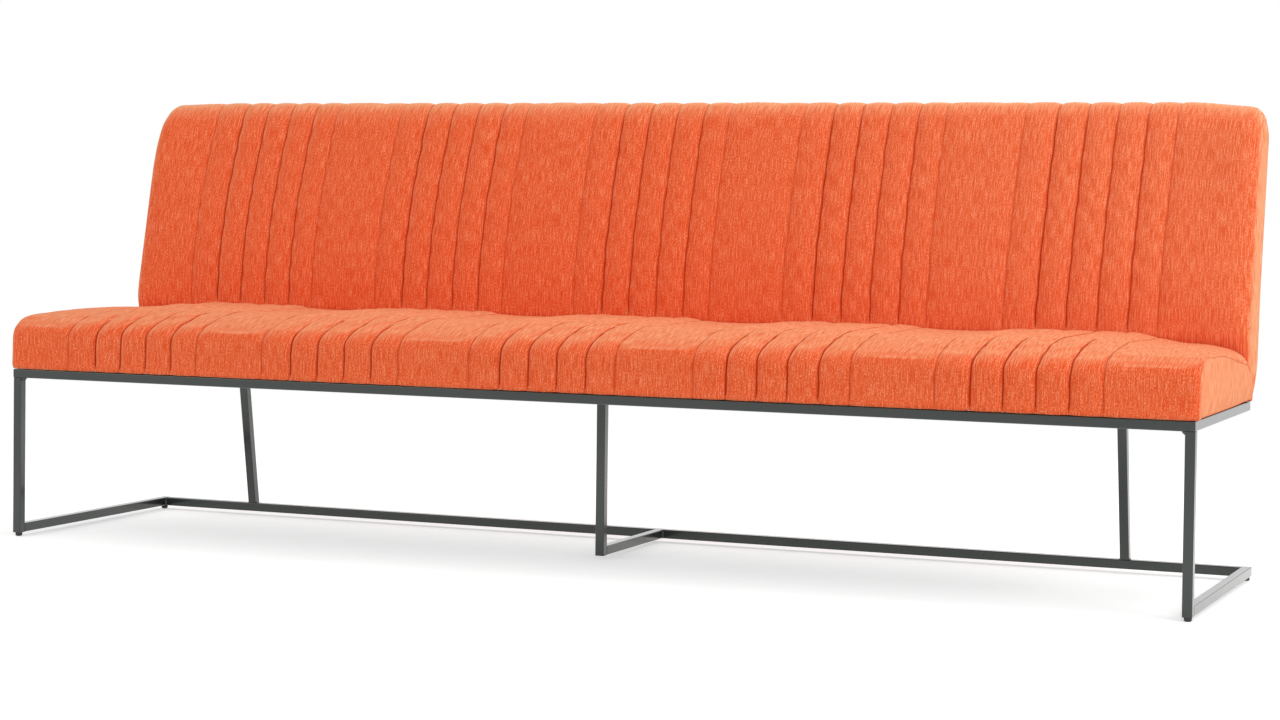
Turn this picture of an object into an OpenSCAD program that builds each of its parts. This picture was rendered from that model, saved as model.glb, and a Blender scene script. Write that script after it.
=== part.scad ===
// Dining sofa: a pleated seat and a raked, pleated back on a thin square-tube steel frame.
// X runs along the sofa, Y from front to back, Z up. The origin is on the floor, in the middle.

/* [Steel frame] */
// Length of the steel frame
frame_l = 2400; // [1600:10:3000]
// Depth of the steel frame under the seat
seat_frame_d = 510; // [470:2:560]
// Depth of the steel frame on the floor
floor_frame_d = 558; // [540:2:620]
// Outside width of the square tube
tube = 18; // [16:1:20]
// Wall of the square tube
tube_wall = 1.5; // [1:0.1:2]
// Outside corner radius of the square tube
tube_corner_r = 2; // [1.2:0.1:3]
// Height of the seat rails' underside above the floor
rail_z = 323; // [280:1:360]
// Height of the floor runners above the floor
floor_gap = 7.5; // [6:0.5:12]
// Distance from the front of the frame to the centre leg
centre_leg_back = 238; // [120:2:340]
// Distance from an end of the frame to the middle of a rear leg
rear_leg_in = 238; // [160:2:300]
// Radius of the weld at the foot of a rear leg
weld_r = 4; // [2:0.5:5]

/* [Glides] */
// Diameter of a glide's foot
glide_d = 14; // [12:0.5:16]
// Diameter of the flat that a glide rests on
glide_flat_d = 10; // [8:0.5:11]
// Diameter of a glide's threaded stud
stud_d = 6; // [5:0.5:8]
// Length of the stud above the foot
stud_l = 14; // [11:0.5:14.5]
// Length of a threaded plug in the foot of a front leg
insert_l = 22; // [18:1:30]
// Outside diameter of a threaded nut in a floor runner
nut_d = 9; // [8.5:0.5:10]

/* [Seat] */
// Thickness of the seat at its crown
seat_t = 125; // [110:1:150]
// Height of the seat's front edge above the rail
seat_edge_t = 92; // [84:1:100]
// Radius of the seat's front edge
seat_edge_r = 28; // [20:1:36]
// How far the cover stands proud of the steel
cover_proud = 2; // [0.5:0.5:5]
// How far the cover is drawn in along its lower edge
cover_tuck = 6; // [2:0.5:8]
// Fall of the crown from the middle of the seat to the back
seat_rear_fall = 8; // [4:1:14]
// Fall of the seat's rear corner at each end
seat_end_fall = 50; // [30:1:56]
// How far a plain panel sinks beside the back
panel_sag = 7; // [0:0.5:9]

/* [Back] */
// Thickness of the back, square to its face
back_t = 117; // [108:1:126]
// Length of the back along its slope
back_l = 550; // [480:2:620]
// Rake of the back in degrees
back_rake = 12; // [8:0.5:15]
// How far the foot of the back stands behind the frame
foot_proud = 3; // [1:0.5:5]
// How far the back's rear face is drawn in at its foot
foot_draw = 24; // [20:1:28]
// Height over which the back's rear face is drawn in
foot_rise = 85; // [60:1:100]
// Radius of the back's top front edge
back_edge_r = 25; // [16:1:32]
// Radius of the back's top rear edge
back_rear_r = 18; // [10:1:24]
// How far the back's front face draws back towards its top
back_draw = 24; // [8:1:28]
// Fall of the back's top corner at each end
back_corner_r = 32; // [20:1:60]
// Rounding of the back's front edge at each end
back_side_r = 24; // [12:1:30]
// Swell of the back's front face
back_swell = 4; // [0:0.5:8]

/* [Pleats] */
// Width of one pleat from seam to seam
pleat_w = 59; // [45:1:70]
// Number of pleats in a group
pleats = 5; // [2:1:5]
// Depth of a seam between two pleats
seam_d = 6; // [3:0.5:7]
// Width of a plain panel between two groups
panel_w = 156; // [130:2:200]
// Width of the plain panel at each end
end_panel_w = 150; // [100:2:170]
// Shift of the pleats along the sofa
pleat_shift = -16; // [-20:1:20]

/* [Padding and boards] */
// Padding in front of the seat's core
front_pad = 14; // [12:0.5:18]
// Padding behind the seat's core
rear_pad = 12; // [9:0.5:16]
// Padding at each end of the seat
end_pad = 14; // [10:0.5:20]
// Padding at each end of the back
back_end_pad = 26; // [24:1:32]
// Padding over the seat's foam, below the crown
top_pad = 30; // [27:0.5:34]
// Quilted thickness of the back's front and top
back_pad = 12; // [10:0.5:15]
// Thickness of the cover's plain skin
skin_t = 2.5; // [1.5:0.5:3]
// Thickness of the hem and of the lining under the seat
hem_t = 1.2; // [0.8:0.1:2]
// Width of the hem under the seat's boards
hem_w = 7; // [6:0.5:8]
// Thickness of a timber board
board_t = 22; // [18:1:24]
// Height of the seat's boards
board_h = 38; // [30:1:44]
// Height of the back's boards
back_board_h = 45; // [35:1:60]
// Width of an upright in the back
upright_w = 60; // [50:1:80]
// Width of a webbing strap
strap_w = 60; // [50:1:70]
// Space between two webbing straps
strap_gap = 34; // [20:1:60]
// Thickness of a webbing strap
strap_t = 2; // [1.5:0.1:2.5]

/* [Brackets and screws] */
// Width of a flat steel bar that carries the back
bar_w = 40; // [30:1:50]
// Thickness of a flat steel bar
bar_t = 6; // [5:0.5:8]
// Length of a flat steel bar along the back
bar_l = 400; // [300:5:420]
// Distance from the sofa's middle to an inner bar
bar_inner_x = 320; // [200:5:400]
// Width of a steel tab under the seat
tab_w = 40; // [30:1:50]
// Thickness of a steel tab
tab_t = 4; // [3:0.5:5]
// Distance from the front rail to the screw in a front tab
tab_hole_in = 8; // [7:0.5:9]
// Diameter of a wood screw
screw_d = 5; // [4:0.5:6]
// Diameter of a wood screw's head
screw_head_d = 10; // [8.5:0.5:11]
// Height of a wood screw's head
screw_head_h = 3; // [2:0.2:3.2]

/* [Clearances] */
// Clearance between soft pieces and what is beside them
soft_gap = 0.4; // [0.3:0.1:0.8]
// Radial clearance of a stud or screw in its hole
thread_gap = 0.05; // [0.02:0.01:0.1]
// Gap between a glide's foot and the frame
glide_gap = 0.3; // [0.2:0.1:0.6]
// Radial clearance of a screw in a steel plate
hole_gap = 0.5; // [0.3:0.1:1]

/* [Hidden] */

STEEL = "#474B4B";
FABRIC = "#EB643C";
TIMBER = "#D8B98C";
FOAM = "#EFE3BE";
BLACK = "#1D1D1F";
ZINC = "#B9BCC0";

half_l = frame_l / 2;
rail_top = rail_z + tube;
floor_top = floor_gap + tube;
inner_r = max(0.3, tube_corner_r - tube_wall);
bore_w = tube - 2 * tube_wall;
weld_in = tube * 2 / 9;

// The back's rear face, carried on down to the rail, and the steel bars in front of it.
bar_out = foot_draw + skin_t + screw_head_h + 0.5;
board_out = bar_out + bar_t;
foot_y = seat_frame_d + foot_proud + foot_draw / cos(back_rake);
seat_rear = foot_y - board_out / cos(back_rake) - skin_t - 2 * soft_gap;
back_top_y = foot_y + (back_l - back_rear_r) * sin(back_rake) - back_rear_r * cos(back_rake) + back_rear_r;
overall_d = back_top_y + cover_proud;
front_y = cover_proud - overall_d / 2;

// Places along the sofa of what is shared by the frame and the back.
rear_leg_x = half_l - rear_leg_in;
bar_xs = [-rear_leg_x, -bar_inner_x, bar_inner_x, rear_leg_x];
glide_x = half_l - tube / 2;
glide_front_y = tube / 2;
glide_rear_y = floor_frame_d - tube / 2;

// Pleat groups: as many as fit, spread evenly between the two end panels.
group_w = pleats * pleat_w;
groups = max(1, round((frame_l - 2 * end_panel_w + panel_w) / (group_w + panel_w)));
group_pitch = (groups > 1) ? (frame_l - 2 * end_panel_w - group_w) / (groups - 1) : 0;
end_round = seat_t * 0.64;
cover_half = half_l + cover_proud;

// Roundness at a distance in from an end: 1 at the end, 0 past the rounding of radius r.
function end_q(d, r) = (d >= r) ? 0 : 1 - sqrt(1 - pow(1 - d / r, 2));
function group_x(g) = pleat_shift + (g - (groups - 1) / 2) * group_pitch;
function seam_x(g, s) = group_x(g) + (s - pleats / 2) * pleat_w;
// The first and last seams of a group are fainter.
function seam_depth(s) = (s == 0 || s == pleats) ? seam_d / 2 : seam_d;
function seam_sag(s) = (s == 0 || s == pleats) ? panel_sag / 2 : 0;

// Columns across the covers: [place along X, seam depth, distance in from an end, sag].
end_steps = [for (k = [0, 0.05, 0.2125, 0.525, 1]) k * end_round];
shoulder = 0.2;
left_columns = [for (d = end_steps) [d - cover_half, 0, d, panel_sag * d / end_round]];
right_columns = [for (i = [4:-1:0]) let (d = end_steps[i])
  [cover_half - d, 0, d, panel_sag * d / end_round]];
pleat_columns = [for (g = [0:groups - 1]) each [
  for (s = [0:pleats]) each concat(
    [[seam_x(g, s), seam_depth(s), end_round, seam_sag(s)]],
    (s < pleats) ? [
      [seam_x(g, s) + shoulder * pleat_w, 0, end_round, 0],
      [seam_x(g, s) + (1 - shoulder) * pleat_w, 0, end_round, 0]
    ] : [],
    (s == pleats && g < groups - 1) ? [[(group_x(g) + group_x(g + 1)) / 2, 0, end_round, panel_sag]] : []
  )
]];
columns = concat(left_columns, pleat_columns, right_columns);

// Height of the seat's crown above the rail, at a distance back from the frame's front.
crown_start = seat_edge_r * 0.6;
crown_top = seat_frame_d / 2.55;
crown_end = seat_frame_d / 1.7;
sag_start = crown_top * 0.75;
function crown(y) = (y < crown_top)
  ? seat_edge_t + (seat_t - seat_edge_t) * pow(sin(90 * (y - crown_start) / (crown_top - crown_start)), 0.8)
  : (y <= crown_end) ? seat_t
  : seat_t - seat_rear_fall * pow((y - crown_end) / (meet_y - crown_end), 2);

// Where the front of the back meets the seat.
meet_z = seat_t - seat_rear_fall;
meet_y = foot_y + meet_z * tan(back_rake) - back_t / cos(back_rake);

// Rows round the seat: [back from the front, above the rail, outward Y, outward Z, end fall, sag].
edge_c = [seat_edge_r - cover_proud, seat_edge_t - seat_edge_r];
function edge_row(a) = [edge_c[0] - seat_edge_r * cos(a), edge_c[1] + seat_edge_r * sin(a),
  -cos(a), sin(a), 0, 0];
function top_row(y) = [y, crown(y), 0, 1, seat_end_fall * y / meet_y,
  max(0, y - sag_start) / (meet_y - sag_start)];
seat_rows = concat(
  [[cover_tuck - cover_proud, 0, -0.5, 0, 0, 0], [-cover_proud, seat_edge_t * 0.42, -1, 0, 0, 0]],
  [for (a = [5, 38, 70]) edge_row(a)],
  [for (y = [0.23 * crown_top, 0.475 * crown_top, 0.85 * crown_top, crown_end]) top_row(y)],
  [[meet_y, meet_z, 0, 0.6, seat_end_fall, 1],
   [seat_rear - 12, meet_z * 0.73, 0, 0, seat_end_fall * 0.75, 0],
   [seat_rear, meet_z * 0.45, 0, 0, seat_end_fall * 0.6, 0],
   [seat_rear, 0, 0, 0, 0, 0]]
);
seat_front_rows = 5;
seat_side_r = end_round / 8;

// A point of the seat's surface for a column and a row of the lists above.
function seat_point(c, k) = let (r = seat_rows[k]) [
  c[0],
  front_y + r[0] - c[1] * r[2] + ((k < seat_front_rows) ? seat_side_r * end_q(c[2], end_steps[3]) : 0),
  rail_top + r[1] - c[1] * r[3] - end_q(c[2], end_round) * r[4] - c[3] * r[5]
];

// A point of the back: s up its slope, t forward from its rear face.
function back_point(x, s, t) = [
  x,
  front_y + foot_y + s * sin(back_rake) - t * cos(back_rake),
  rail_top + s * cos(back_rake) + t * sin(back_rake)
];
// Rows over the back, up its rear face and down its front: [up the slope, forward, pleat depth share].
foot_rows = [
  [-foot_draw * tan(back_rake), foot_draw, 0],
  [foot_rise * 0.4, foot_draw * 0.3, 0],
  [foot_rise, 0, 0]
];
function rear_arc(a) = [back_l - back_rear_r * (1 - sin(a)), back_rear_r * (1 - cos(a)), 0];
function front_arc(a) = [
  back_l - back_edge_r * (1 - sin(a)),
  back_t - back_draw - back_edge_r * (1 - cos(a)),
  1
];
// The front face is straight up to draw_from, and then rolls back more and more.
draw_from = back_l * 0.64;
draw_mid = back_l * 0.84;
mid_draw = back_draw * pow((draw_mid - draw_from) / (back_l - back_edge_r - draw_from), 1.5);
back_rows = concat(
  foot_rows,
  [for (a = [0, 80]) rear_arc(a)],
  [for (a = [90, 40]) front_arc(a)],
  [[draw_mid, back_t - mid_draw, 1], [back_l * 0.55, back_t + back_swell, 1]]
);
back_rear_side_r = back_side_r / 4;
meet_row = 9;

function back_row_point(c, r) = back_point(
  c[0],
  r[0] - end_q(c[2], back_corner_r) * back_corner_r * ((r[0] > back_l * 0.9) ? 1 : 0)
    - c[1] * r[2] * ((r[0] > back_l - 2) ? 1 : 0),
  (r[2] == 0)
    ? r[1] + end_q(c[2], back_side_r) * back_rear_side_r
    : r[1] - end_q(c[2], back_side_r) * back_side_r - c[1] * r[2] * ((r[0] > back_l - 2) ? 0 : 1)
);
// The back's underside lies on the seat's rear, a soft gap away.
function under_point(c, k) = seat_point(c, k) + [0, soft_gap, (k == meet_row + 3) ? 0 : soft_gap];
function meet_point(c) = under_point(c, meet_row)
  + [0, c[1] * 0.8 + end_q(c[2], back_side_r) * back_side_r * 0.5, 0];
function back_ring(c) = concat(
  [meet_point(c)],
  [for (k = [meet_row + 1:meet_row + 3]) under_point(c, k)],
  [for (r = back_rows) back_row_point(c, r)]
);

// Faces of a loft of closed rings, each with nr points, and its two flat ends.
function ring_faces(nc, nr, flip) = concat(
  [for (i = [0:nc - 2], k = [0:nr - 1])
    let (a = i * nr + k, b = i * nr + (k + 1) % nr, c = b + nr, d = a + nr)
    each flip ? [[a, c, b], [a, d, c]] : [[a, b, c], [a, c, d]]],
  flip
    ? [[for (k = [0:nr - 1]) k], [for (k = [nr - 1:-1:0]) (nc - 1) * nr + k]]
    : [[for (k = [nr - 1:-1:0]) k], [for (k = [0:nr - 1]) (nc - 1) * nr + k]]
);

// Outline of the seat's core, from the front, in Y and Z.
core_front = front_pad - cover_proud;
core_rear = seat_rear - rear_pad;
core_bottom = rail_top + hem_t;
core_half = cover_half - end_pad;
strap_z = core_bottom + board_h;
foam_z = strap_z + strap_t;
core_ys = [crown_end, crown_top, 0.65 * crown_top, 0.4 * crown_top, 0.225 * crown_top];
function core_outline(gap, z0) = concat(
  [[front_y + core_front + gap, z0],
   [front_y + core_rear - gap, z0],
   [front_y + core_rear - gap, rail_top + meet_z * 0.4 - gap],
   [front_y + meet_y - seat_side_r * 0.4 - gap, rail_top + meet_z - top_pad - gap]],
  [for (y = core_ys) [front_y + y, rail_top + crown(y) - top_pad - gap]],
  [[front_y + core_front + gap, rail_top + crown(crown_start) - top_pad - gap]]
);

// Depths inside the back, measured forward from its rear face.
bar_room = bar_out - screw_head_h - 0.5;
strap_out = board_out + board_t;
foam_out = strap_out + strap_t;
foam_front = back_t - back_pad;
back_inner_top = back_l - back_pad;
back_board_s = 76;
back_foam_s = 104;
back_room_s = back_board_s - soft_gap;
foam_edge = back_edge_r * 0.6;
rear_pad_top = back_l - back_rear_r - 12;
back_core_half = cover_half - back_end_pad;

// Outline of the room inside the back: minus the depth forward, and the way up the slope.
back_core = [
  [-bar_room, -40],
  [-bar_room, back_room_s],
  [-skin_t, back_room_s],
  [-skin_t, rear_pad_top],
  [-bar_room, rear_pad_top],
  [-bar_room, back_inner_top],
  [foam_edge + back_draw - foam_front, back_inner_top],
  [back_draw - foam_front, back_inner_top - foam_edge],
  [mid_draw - foam_front, draw_mid],
  [-foam_front, draw_from],
  [-foam_front, back_foam_s],
  [-foam_out, back_foam_s],
  [-foam_out, back_room_s],
  [-board_out - soft_gap, back_room_s],
  [-board_out - soft_gap, -40]
];

// Holes for the seat's screws, and the places of the tabs along the sofa.
tab_xs = [for (k = [-3, -1, 1, 3]) k * half_l * 0.27];
front_hole_y = tube + tab_hole_in;
rear_hole_y = core_rear - soft_gap - board_t / 2;
screw_l = board_h - 2 * tab_t;

// A square with round corners, centred.
module round_square(w, r) {
  square([w, w - 2 * r], center = true);
  square([w - 2 * r, w], center = true);
  for (x = [-1, 1], y = [-1, 1])
    translate([x * (w / 2 - r), y * (w / 2 - r)]) circle(r, $fn = 24);
}

// Square tube standing on the origin.
module tube_run(l) {
  linear_extrude(l) difference() {
    round_square(tube, tube_corner_r);
    round_square(bore_w, inner_r);
  }
}

// Square tube along X between two places, its front lower edge at y and z.
module tube_x(x0, x1, y, z) {
  translate([x0, front_y + y + tube / 2, z + tube / 2]) rotate([0, 90, 0]) tube_run(x1 - x0);
}

// Square tube along Y between two places, its middle at x and its underside at z.
module tube_y(x, y0, y1, z) {
  translate([x, front_y + y0, z + tube / 2]) rotate([-90, 0, 0]) tube_run(y1 - y0);
}

// Square tube along Z, its middle at x and its front face at y.
module tube_z(x, y, z0, z1) {
  translate([x, front_y + y + tube / 2, z0]) tube_run(z1 - z0);
}

// A long seat rail with a mitre at both ends; side is 1 at the front and -1 at the rear.
module long_seat_rail(y, side) {
  outer = (side > 0) ? y : y + tube;
  inner = outer + side * tube;
  intersection() {
    tube_x(-half_l, half_l, y, rail_z);
    translate([0, front_y, rail_z - 1]) linear_extrude(tube + 2)
      polygon([[-half_l, outer], [half_l, outer], [half_l - tube, inner], [tube - half_l, inner]]);
  }
}

// A short seat rail at one end, with the matching mitres.
module end_seat_rail(side) {
  intersection() {
    tube_y(side * (half_l - tube / 2), 0, seat_frame_d, rail_z);
    translate([0, front_y, rail_z - 1]) linear_extrude(tube + 2) polygon([
      [side * half_l, 0],
      [side * half_l, seat_frame_d],
      [side * (half_l - tube), seat_frame_d - tube],
      [side * (half_l - tube), tube]
    ]);
  }
}

module seat_rail_front() { color(STEEL) long_seat_rail(0, 1); }
module seat_rail_rear() { color(STEEL) long_seat_rail(seat_frame_d - tube, -1); }
module seat_rail_left() { color(STEEL) end_seat_rail(-1); }
module seat_rail_right() { color(STEEL) end_seat_rail(1); }
module seat_cross_rail() { color(STEEL) tube_y(0, tube, seat_frame_d - tube, rail_z); }

module front_leg_left() { color(STEEL) tube_z(-glide_x, 0, floor_gap, rail_z); }
module front_leg_right() { color(STEEL) tube_z(glide_x, 0, floor_gap, rail_z); }
module centre_leg() { color(STEEL) tube_z(0, centre_leg_back, floor_gap, rail_z); }

// A rear leg leans from the rear seat rail back to the floor rail, with a weld at its foot.
module rear_leg(x) {
  top_y = seat_frame_d - tube / 2;
  foot = floor_frame_d - tube / 2;
  rise = rail_z - floor_top;
  lean = atan((foot - top_y) / rise);
  color(STEEL) translate([x, front_y, 0]) {
    intersection() {
      translate([0, foot, floor_top]) rotate([lean, 0, 0])
        translate([0, 0, -tube]) tube_run(rise / cos(lean) + 2 * tube);
      translate([-tube, 0, floor_top]) cube([2 * tube, foot + tube, rise]);
    }
    for (side = [-1, 1])
      translate([side * tube / 2, foot + tube / 2 - weld_in, floor_top]) rotate([90, 0, 0])
        linear_extrude(tube - 2 * weld_in) difference() {
          translate([(side > 0) ? 0 : -weld_r, 0]) square(weld_r);
          translate([side * weld_r, weld_r]) circle(weld_r, $fn = 32);
        }
  }
}
module rear_leg_left() { rear_leg(-rear_leg_x); }
module rear_leg_right() { rear_leg(rear_leg_x); }

// A hole in the underside of a floor runner for its threaded nut.
module floor_runner(side) {
  color(STEEL) difference() {
    tube_y(side * glide_x, tube, floor_frame_d, floor_gap);
    translate([side * glide_x, front_y + glide_rear_y, floor_gap - 1])
      cylinder(d = nut_d, h = tube_wall + 2, $fn = 48);
  }
}
module floor_runner_left() { floor_runner(-1); }
module floor_runner_right() { floor_runner(1); }
module floor_runner_centre() {
  color(STEEL) tube_y(0, centre_leg_back + tube, floor_frame_d - tube, floor_gap);
}
module floor_rail_rear() {
  color(STEEL) tube_x(tube - half_l, half_l - tube, floor_frame_d - tube, floor_gap);
}

// Flush steel plates close the rear ends of the outer runners and the foot of the centre leg.
module tube_end_plates() {
  plate_t = 2;
  color(STEEL) {
    for (side = [-1, 1])
      translate([side * glide_x, front_y + floor_frame_d, floor_gap + tube / 2]) rotate([90, 0, 0])
        linear_extrude(plate_t) round_square(bore_w, inner_r);
    translate([0, front_y + centre_leg_back + tube / 2, floor_gap])
      linear_extrude(plate_t) round_square(bore_w, inner_r);
  }
}

// Threaded plugs in the front legs take the front glides.
module leg_inserts() {
  color(BLACK) for (side = [-1, 1])
    translate([side * glide_x, front_y + glide_front_y, floor_gap]) difference() {
      linear_extrude(insert_l) round_square(bore_w, inner_r);
      translate([0, 0, -1]) cylinder(d = stud_d + 2 * thread_gap, h = insert_l + 2, $fn = 48);
    }
}

// Threaded nuts pressed into the floor runners take the rear glides.
module runner_nuts() {
  color(ZINC) for (side = [-1, 1])
    translate([side * glide_x, front_y + glide_rear_y, floor_gap]) difference() {
      cylinder(d = nut_d, h = tube - 2 * tube_wall - 2, $fn = 48);
      translate([0, 0, -1]) cylinder(d = stud_d + 2 * thread_gap, h = tube, $fn = 48);
    }
}

// Steel tabs welded inside the long rails, level with their tops, with a screw hole in each.
module seat_tabs() {
  front_l = 2 * tab_hole_in;
  rear_y = seat_frame_d - tube;
  rear_l = rear_y - rear_hole_y + 9;
  color(STEEL) for (x = tab_xs) {
    translate([x, front_y + tube, rail_top - tab_t]) difference() {
      translate([-tab_w / 2, 0, 0]) cube([tab_w, front_l, tab_t]);
      translate([0, tab_hole_in, -1]) cylinder(d = screw_d + 2 * hole_gap, h = tab_t + 2, $fn = 32);
    }
    translate([x, front_y + rear_y, rail_top - tab_t]) difference() {
      translate([-tab_w / 2, -rear_l, 0]) cube([tab_w, rear_l, tab_t]);
      translate([0, rear_hole_y - rear_y, -1])
        cylinder(d = screw_d + 2 * hole_gap, h = tab_t + 2, $fn = 32);
    }
  }
}

// A wood screw pointing up, the underside of its head on the origin.
module wood_screw(l) {
  translate([0, 0, -screw_head_h]) cylinder(d = screw_head_d, h = screw_head_h, $fn = 32);
  cylinder(d = screw_d, h = l, $fn = 32);
}
module seat_screws() {
  color(ZINC) for (x = tab_xs, y = [front_hole_y, rear_hole_y])
    translate([x, front_y + y, rail_top - tab_t]) wood_screw(screw_l);
}

// Pilot holes for the seat's screws in a board or in the lining.
module screw_holes(y, z, h) {
  for (x = tab_xs)
    translate([x, front_y + y, z]) cylinder(d = screw_d + 2 * thread_gap, h = h, $fn = 32);
}

// A long board of the seat's frame, its front face at y.
module long_seat_board(y, hole_y) {
  l = 2 * (core_half - soft_gap);
  color(TIMBER) difference() {
    translate([-l / 2, front_y + y, core_bottom]) cube([l, board_t, board_h]);
    screw_holes(hole_y, core_bottom - 1, screw_l - tab_t - hem_t + 2);
  }
}
// A short board between the two long ones, its lower X face at x.
module short_seat_board(x) {
  y0 = core_front + soft_gap + board_t;
  y1 = core_rear - soft_gap - board_t;
  color(TIMBER) translate([x, front_y + y0, core_bottom]) cube([board_t, y1 - y0, board_h]);
}
module seat_board_front() { long_seat_board(core_front + soft_gap, front_hole_y); }
module seat_board_rear() { long_seat_board(core_rear - soft_gap - board_t, rear_hole_y); }
module seat_board_left() { short_seat_board(soft_gap - core_half); }
module seat_board_right() { short_seat_board(core_half - soft_gap - board_t); }
module seat_board_cross() {
  for (k = [-1, 0, 1]) short_seat_board(k * half_l / 2 - board_t / 2);
}

// Webbing straps from the front board to the rear one.
strap_pitch = strap_w + strap_gap;
strap_span = 2 * (core_half - soft_gap) - strap_w;
strap_n = floor(strap_span / strap_pitch);
module seat_webbing() {
  y0 = core_front + soft_gap;
  y1 = core_rear - soft_gap;
  color(BLACK) for (k = [0:strap_n])
    translate([(k - strap_n / 2) * strap_pitch - strap_w / 2, front_y + y0, strap_z])
      cube([strap_w, y1 - y0, strap_t]);
}

module along_x(l) { translate([-l / 2, 0, 0]) rotate([90, 0, 90]) linear_extrude(l) children(); }

module seat_foam() {
  color(FOAM) along_x(2 * (core_half - soft_gap)) polygon(core_outline(soft_gap, foam_z));
}

// The seat's quilted cover, open below inside its hem.
module seat_cover() {
  points = [for (c = columns, k = [0:len(seat_rows) - 1]) seat_point(c, k)];
  opening_l = 2 * (core_half - hem_w);
  color(FABRIC) difference() {
    polyhedron(points, ring_faces(len(columns), len(seat_rows), true), convexity = 6);
    along_x(2 * core_half) polygon(core_outline(0, core_bottom));
    translate([-opening_l / 2, front_y + core_front + hem_w, rail_top - 1])
      cube([opening_l, core_rear - core_front - 2 * hem_w, hem_t + 2]);
  }
}

// Black lining under the seat, inside the hem.
module seat_lining() {
  l = 2 * (core_half - hem_w - soft_gap);
  y0 = core_front + hem_w + soft_gap;
  y1 = core_rear - hem_w - soft_gap;
  color(BLACK) difference() {
    translate([-l / 2, front_y + y0, rail_top]) cube([l, y1 - y0, hem_t]);
    screw_holes(front_hole_y, rail_top - 1, hem_t + 2);
    screw_holes(rear_hole_y, rail_top - 1, hem_t + 2);
  }
}

// Space of the back: z up its slope, y back from its front, its rear face on y = 0.
module in_back() {
  translate([0, front_y + foot_y, rail_top]) rotate([-back_rake, 0, 0]) children();
}
// A block in the back, from s0 to s1 up its slope and from t0 to t1 forward.
module back_block(x0, x1, s0, s1, t0, t1) {
  in_back() translate([x0, -t1, s0]) cube([x1 - x0, t1 - t0, s1 - s0]);
}

// Places of the screws that hold the back's frame on the bars.
bar_screw_s = [back_board_s + back_board_h / 2, bar_l * 0.9];
module back_screw_holes(d, t0, t1) {
  for (x = bar_xs, s = bar_screw_s)
    in_back() translate([x, -t0, s]) rotate([90, 0, 0]) cylinder(d = d, h = t1 - t0, $fn = 32);
}
// Flat bars welded on the rear rail carry the back.
module back_bars() {
  color(STEEL) difference() {
    for (x = bar_xs) back_block(x - bar_w / 2, x + bar_w / 2, -foot_draw, bar_l, bar_out, board_out);
    translate([-half_l, front_y, rail_top - foot_rise])
      cube([frame_l, seat_frame_d + foot_rise, foot_rise]);
    back_screw_holes(screw_d + 2 * hole_gap, bar_out - 1, board_out + 1);
  }
}
module back_screws() {
  color(ZINC) for (x = bar_xs, s = bar_screw_s)
    in_back() translate([x, -bar_out, s]) rotate([90, 0, 0]) wood_screw(bar_t + board_t - 3);
}

back_half = back_core_half - soft_gap;
back_board_top_s = back_inner_top - soft_gap;
module back_board_top() {
  color(TIMBER) back_block(-back_half, back_half, back_board_top_s - back_board_h, back_board_top_s,
    board_out, strap_out);
}
module back_board_bottom() {
  color(TIMBER) difference() {
    back_block(-back_half, back_half, back_board_s, back_board_s + back_board_h, board_out, strap_out);
    back_screw_holes(screw_d + 2 * thread_gap, board_out - 1, bar_out + bar_t + board_t - 3);
  }
}
// Boards between the bottom and the top one.
module back_upright(x, w) {
  back_block(x, x + w, back_board_s + back_board_h, back_board_top_s - back_board_h, board_out, strap_out);
}
module back_board_left() { color(TIMBER) back_upright(-back_half, back_board_h); }
module back_board_right() { color(TIMBER) back_upright(back_half - back_board_h, back_board_h); }
module back_uprights() {
  color(TIMBER) difference() {
    for (x = bar_xs) back_upright(x - upright_w / 2, upright_w);
    back_screw_holes(screw_d + 2 * thread_gap, board_out - 1, bar_out + bar_t + board_t - 3);
  }
}

// Straps from the back's bottom board to its top one.
module back_webbing() {
  color(BLACK) for (k = [0:strap_n])
    back_block((k - strap_n / 2) * strap_pitch - strap_w / 2, (k - strap_n / 2) * strap_pitch + strap_w / 2,
      back_board_s + 4, back_board_top_s - 4, strap_out, foam_out);
}
module back_foam() {
  front = foam_front - soft_gap;
  color(FOAM) in_back() along_x(2 * back_half) polygon([
    [-foam_out, back_foam_s + soft_gap],
    [-foam_out, back_board_top_s],
    [foam_edge + back_draw - front, back_board_top_s],
    [back_draw - front, back_board_top_s - foam_edge],
    [mid_draw - front, draw_mid],
    [-front, draw_from],
    [-front, back_foam_s + soft_gap]
  ]);
}

// A thin pad between the bars and the rear of the cover.
module back_rear_pad() {
  color(FOAM) back_block(-back_half, back_half, back_board_s, rear_pad_top - soft_gap,
    skin_t + soft_gap, bar_room - soft_gap);
}

// The back's quilted cover, open at its foot where the bars come in.
module back_cover() {
  rings = [for (c = columns) back_ring(c)];
  points = [for (ring = rings) each ring];
  color(FABRIC) difference() {
    polyhedron(points, ring_faces(len(columns), len(rings[0]), false), convexity = 6);
    in_back() along_x(2 * back_core_half) polygon(back_core);
  }
}

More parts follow.
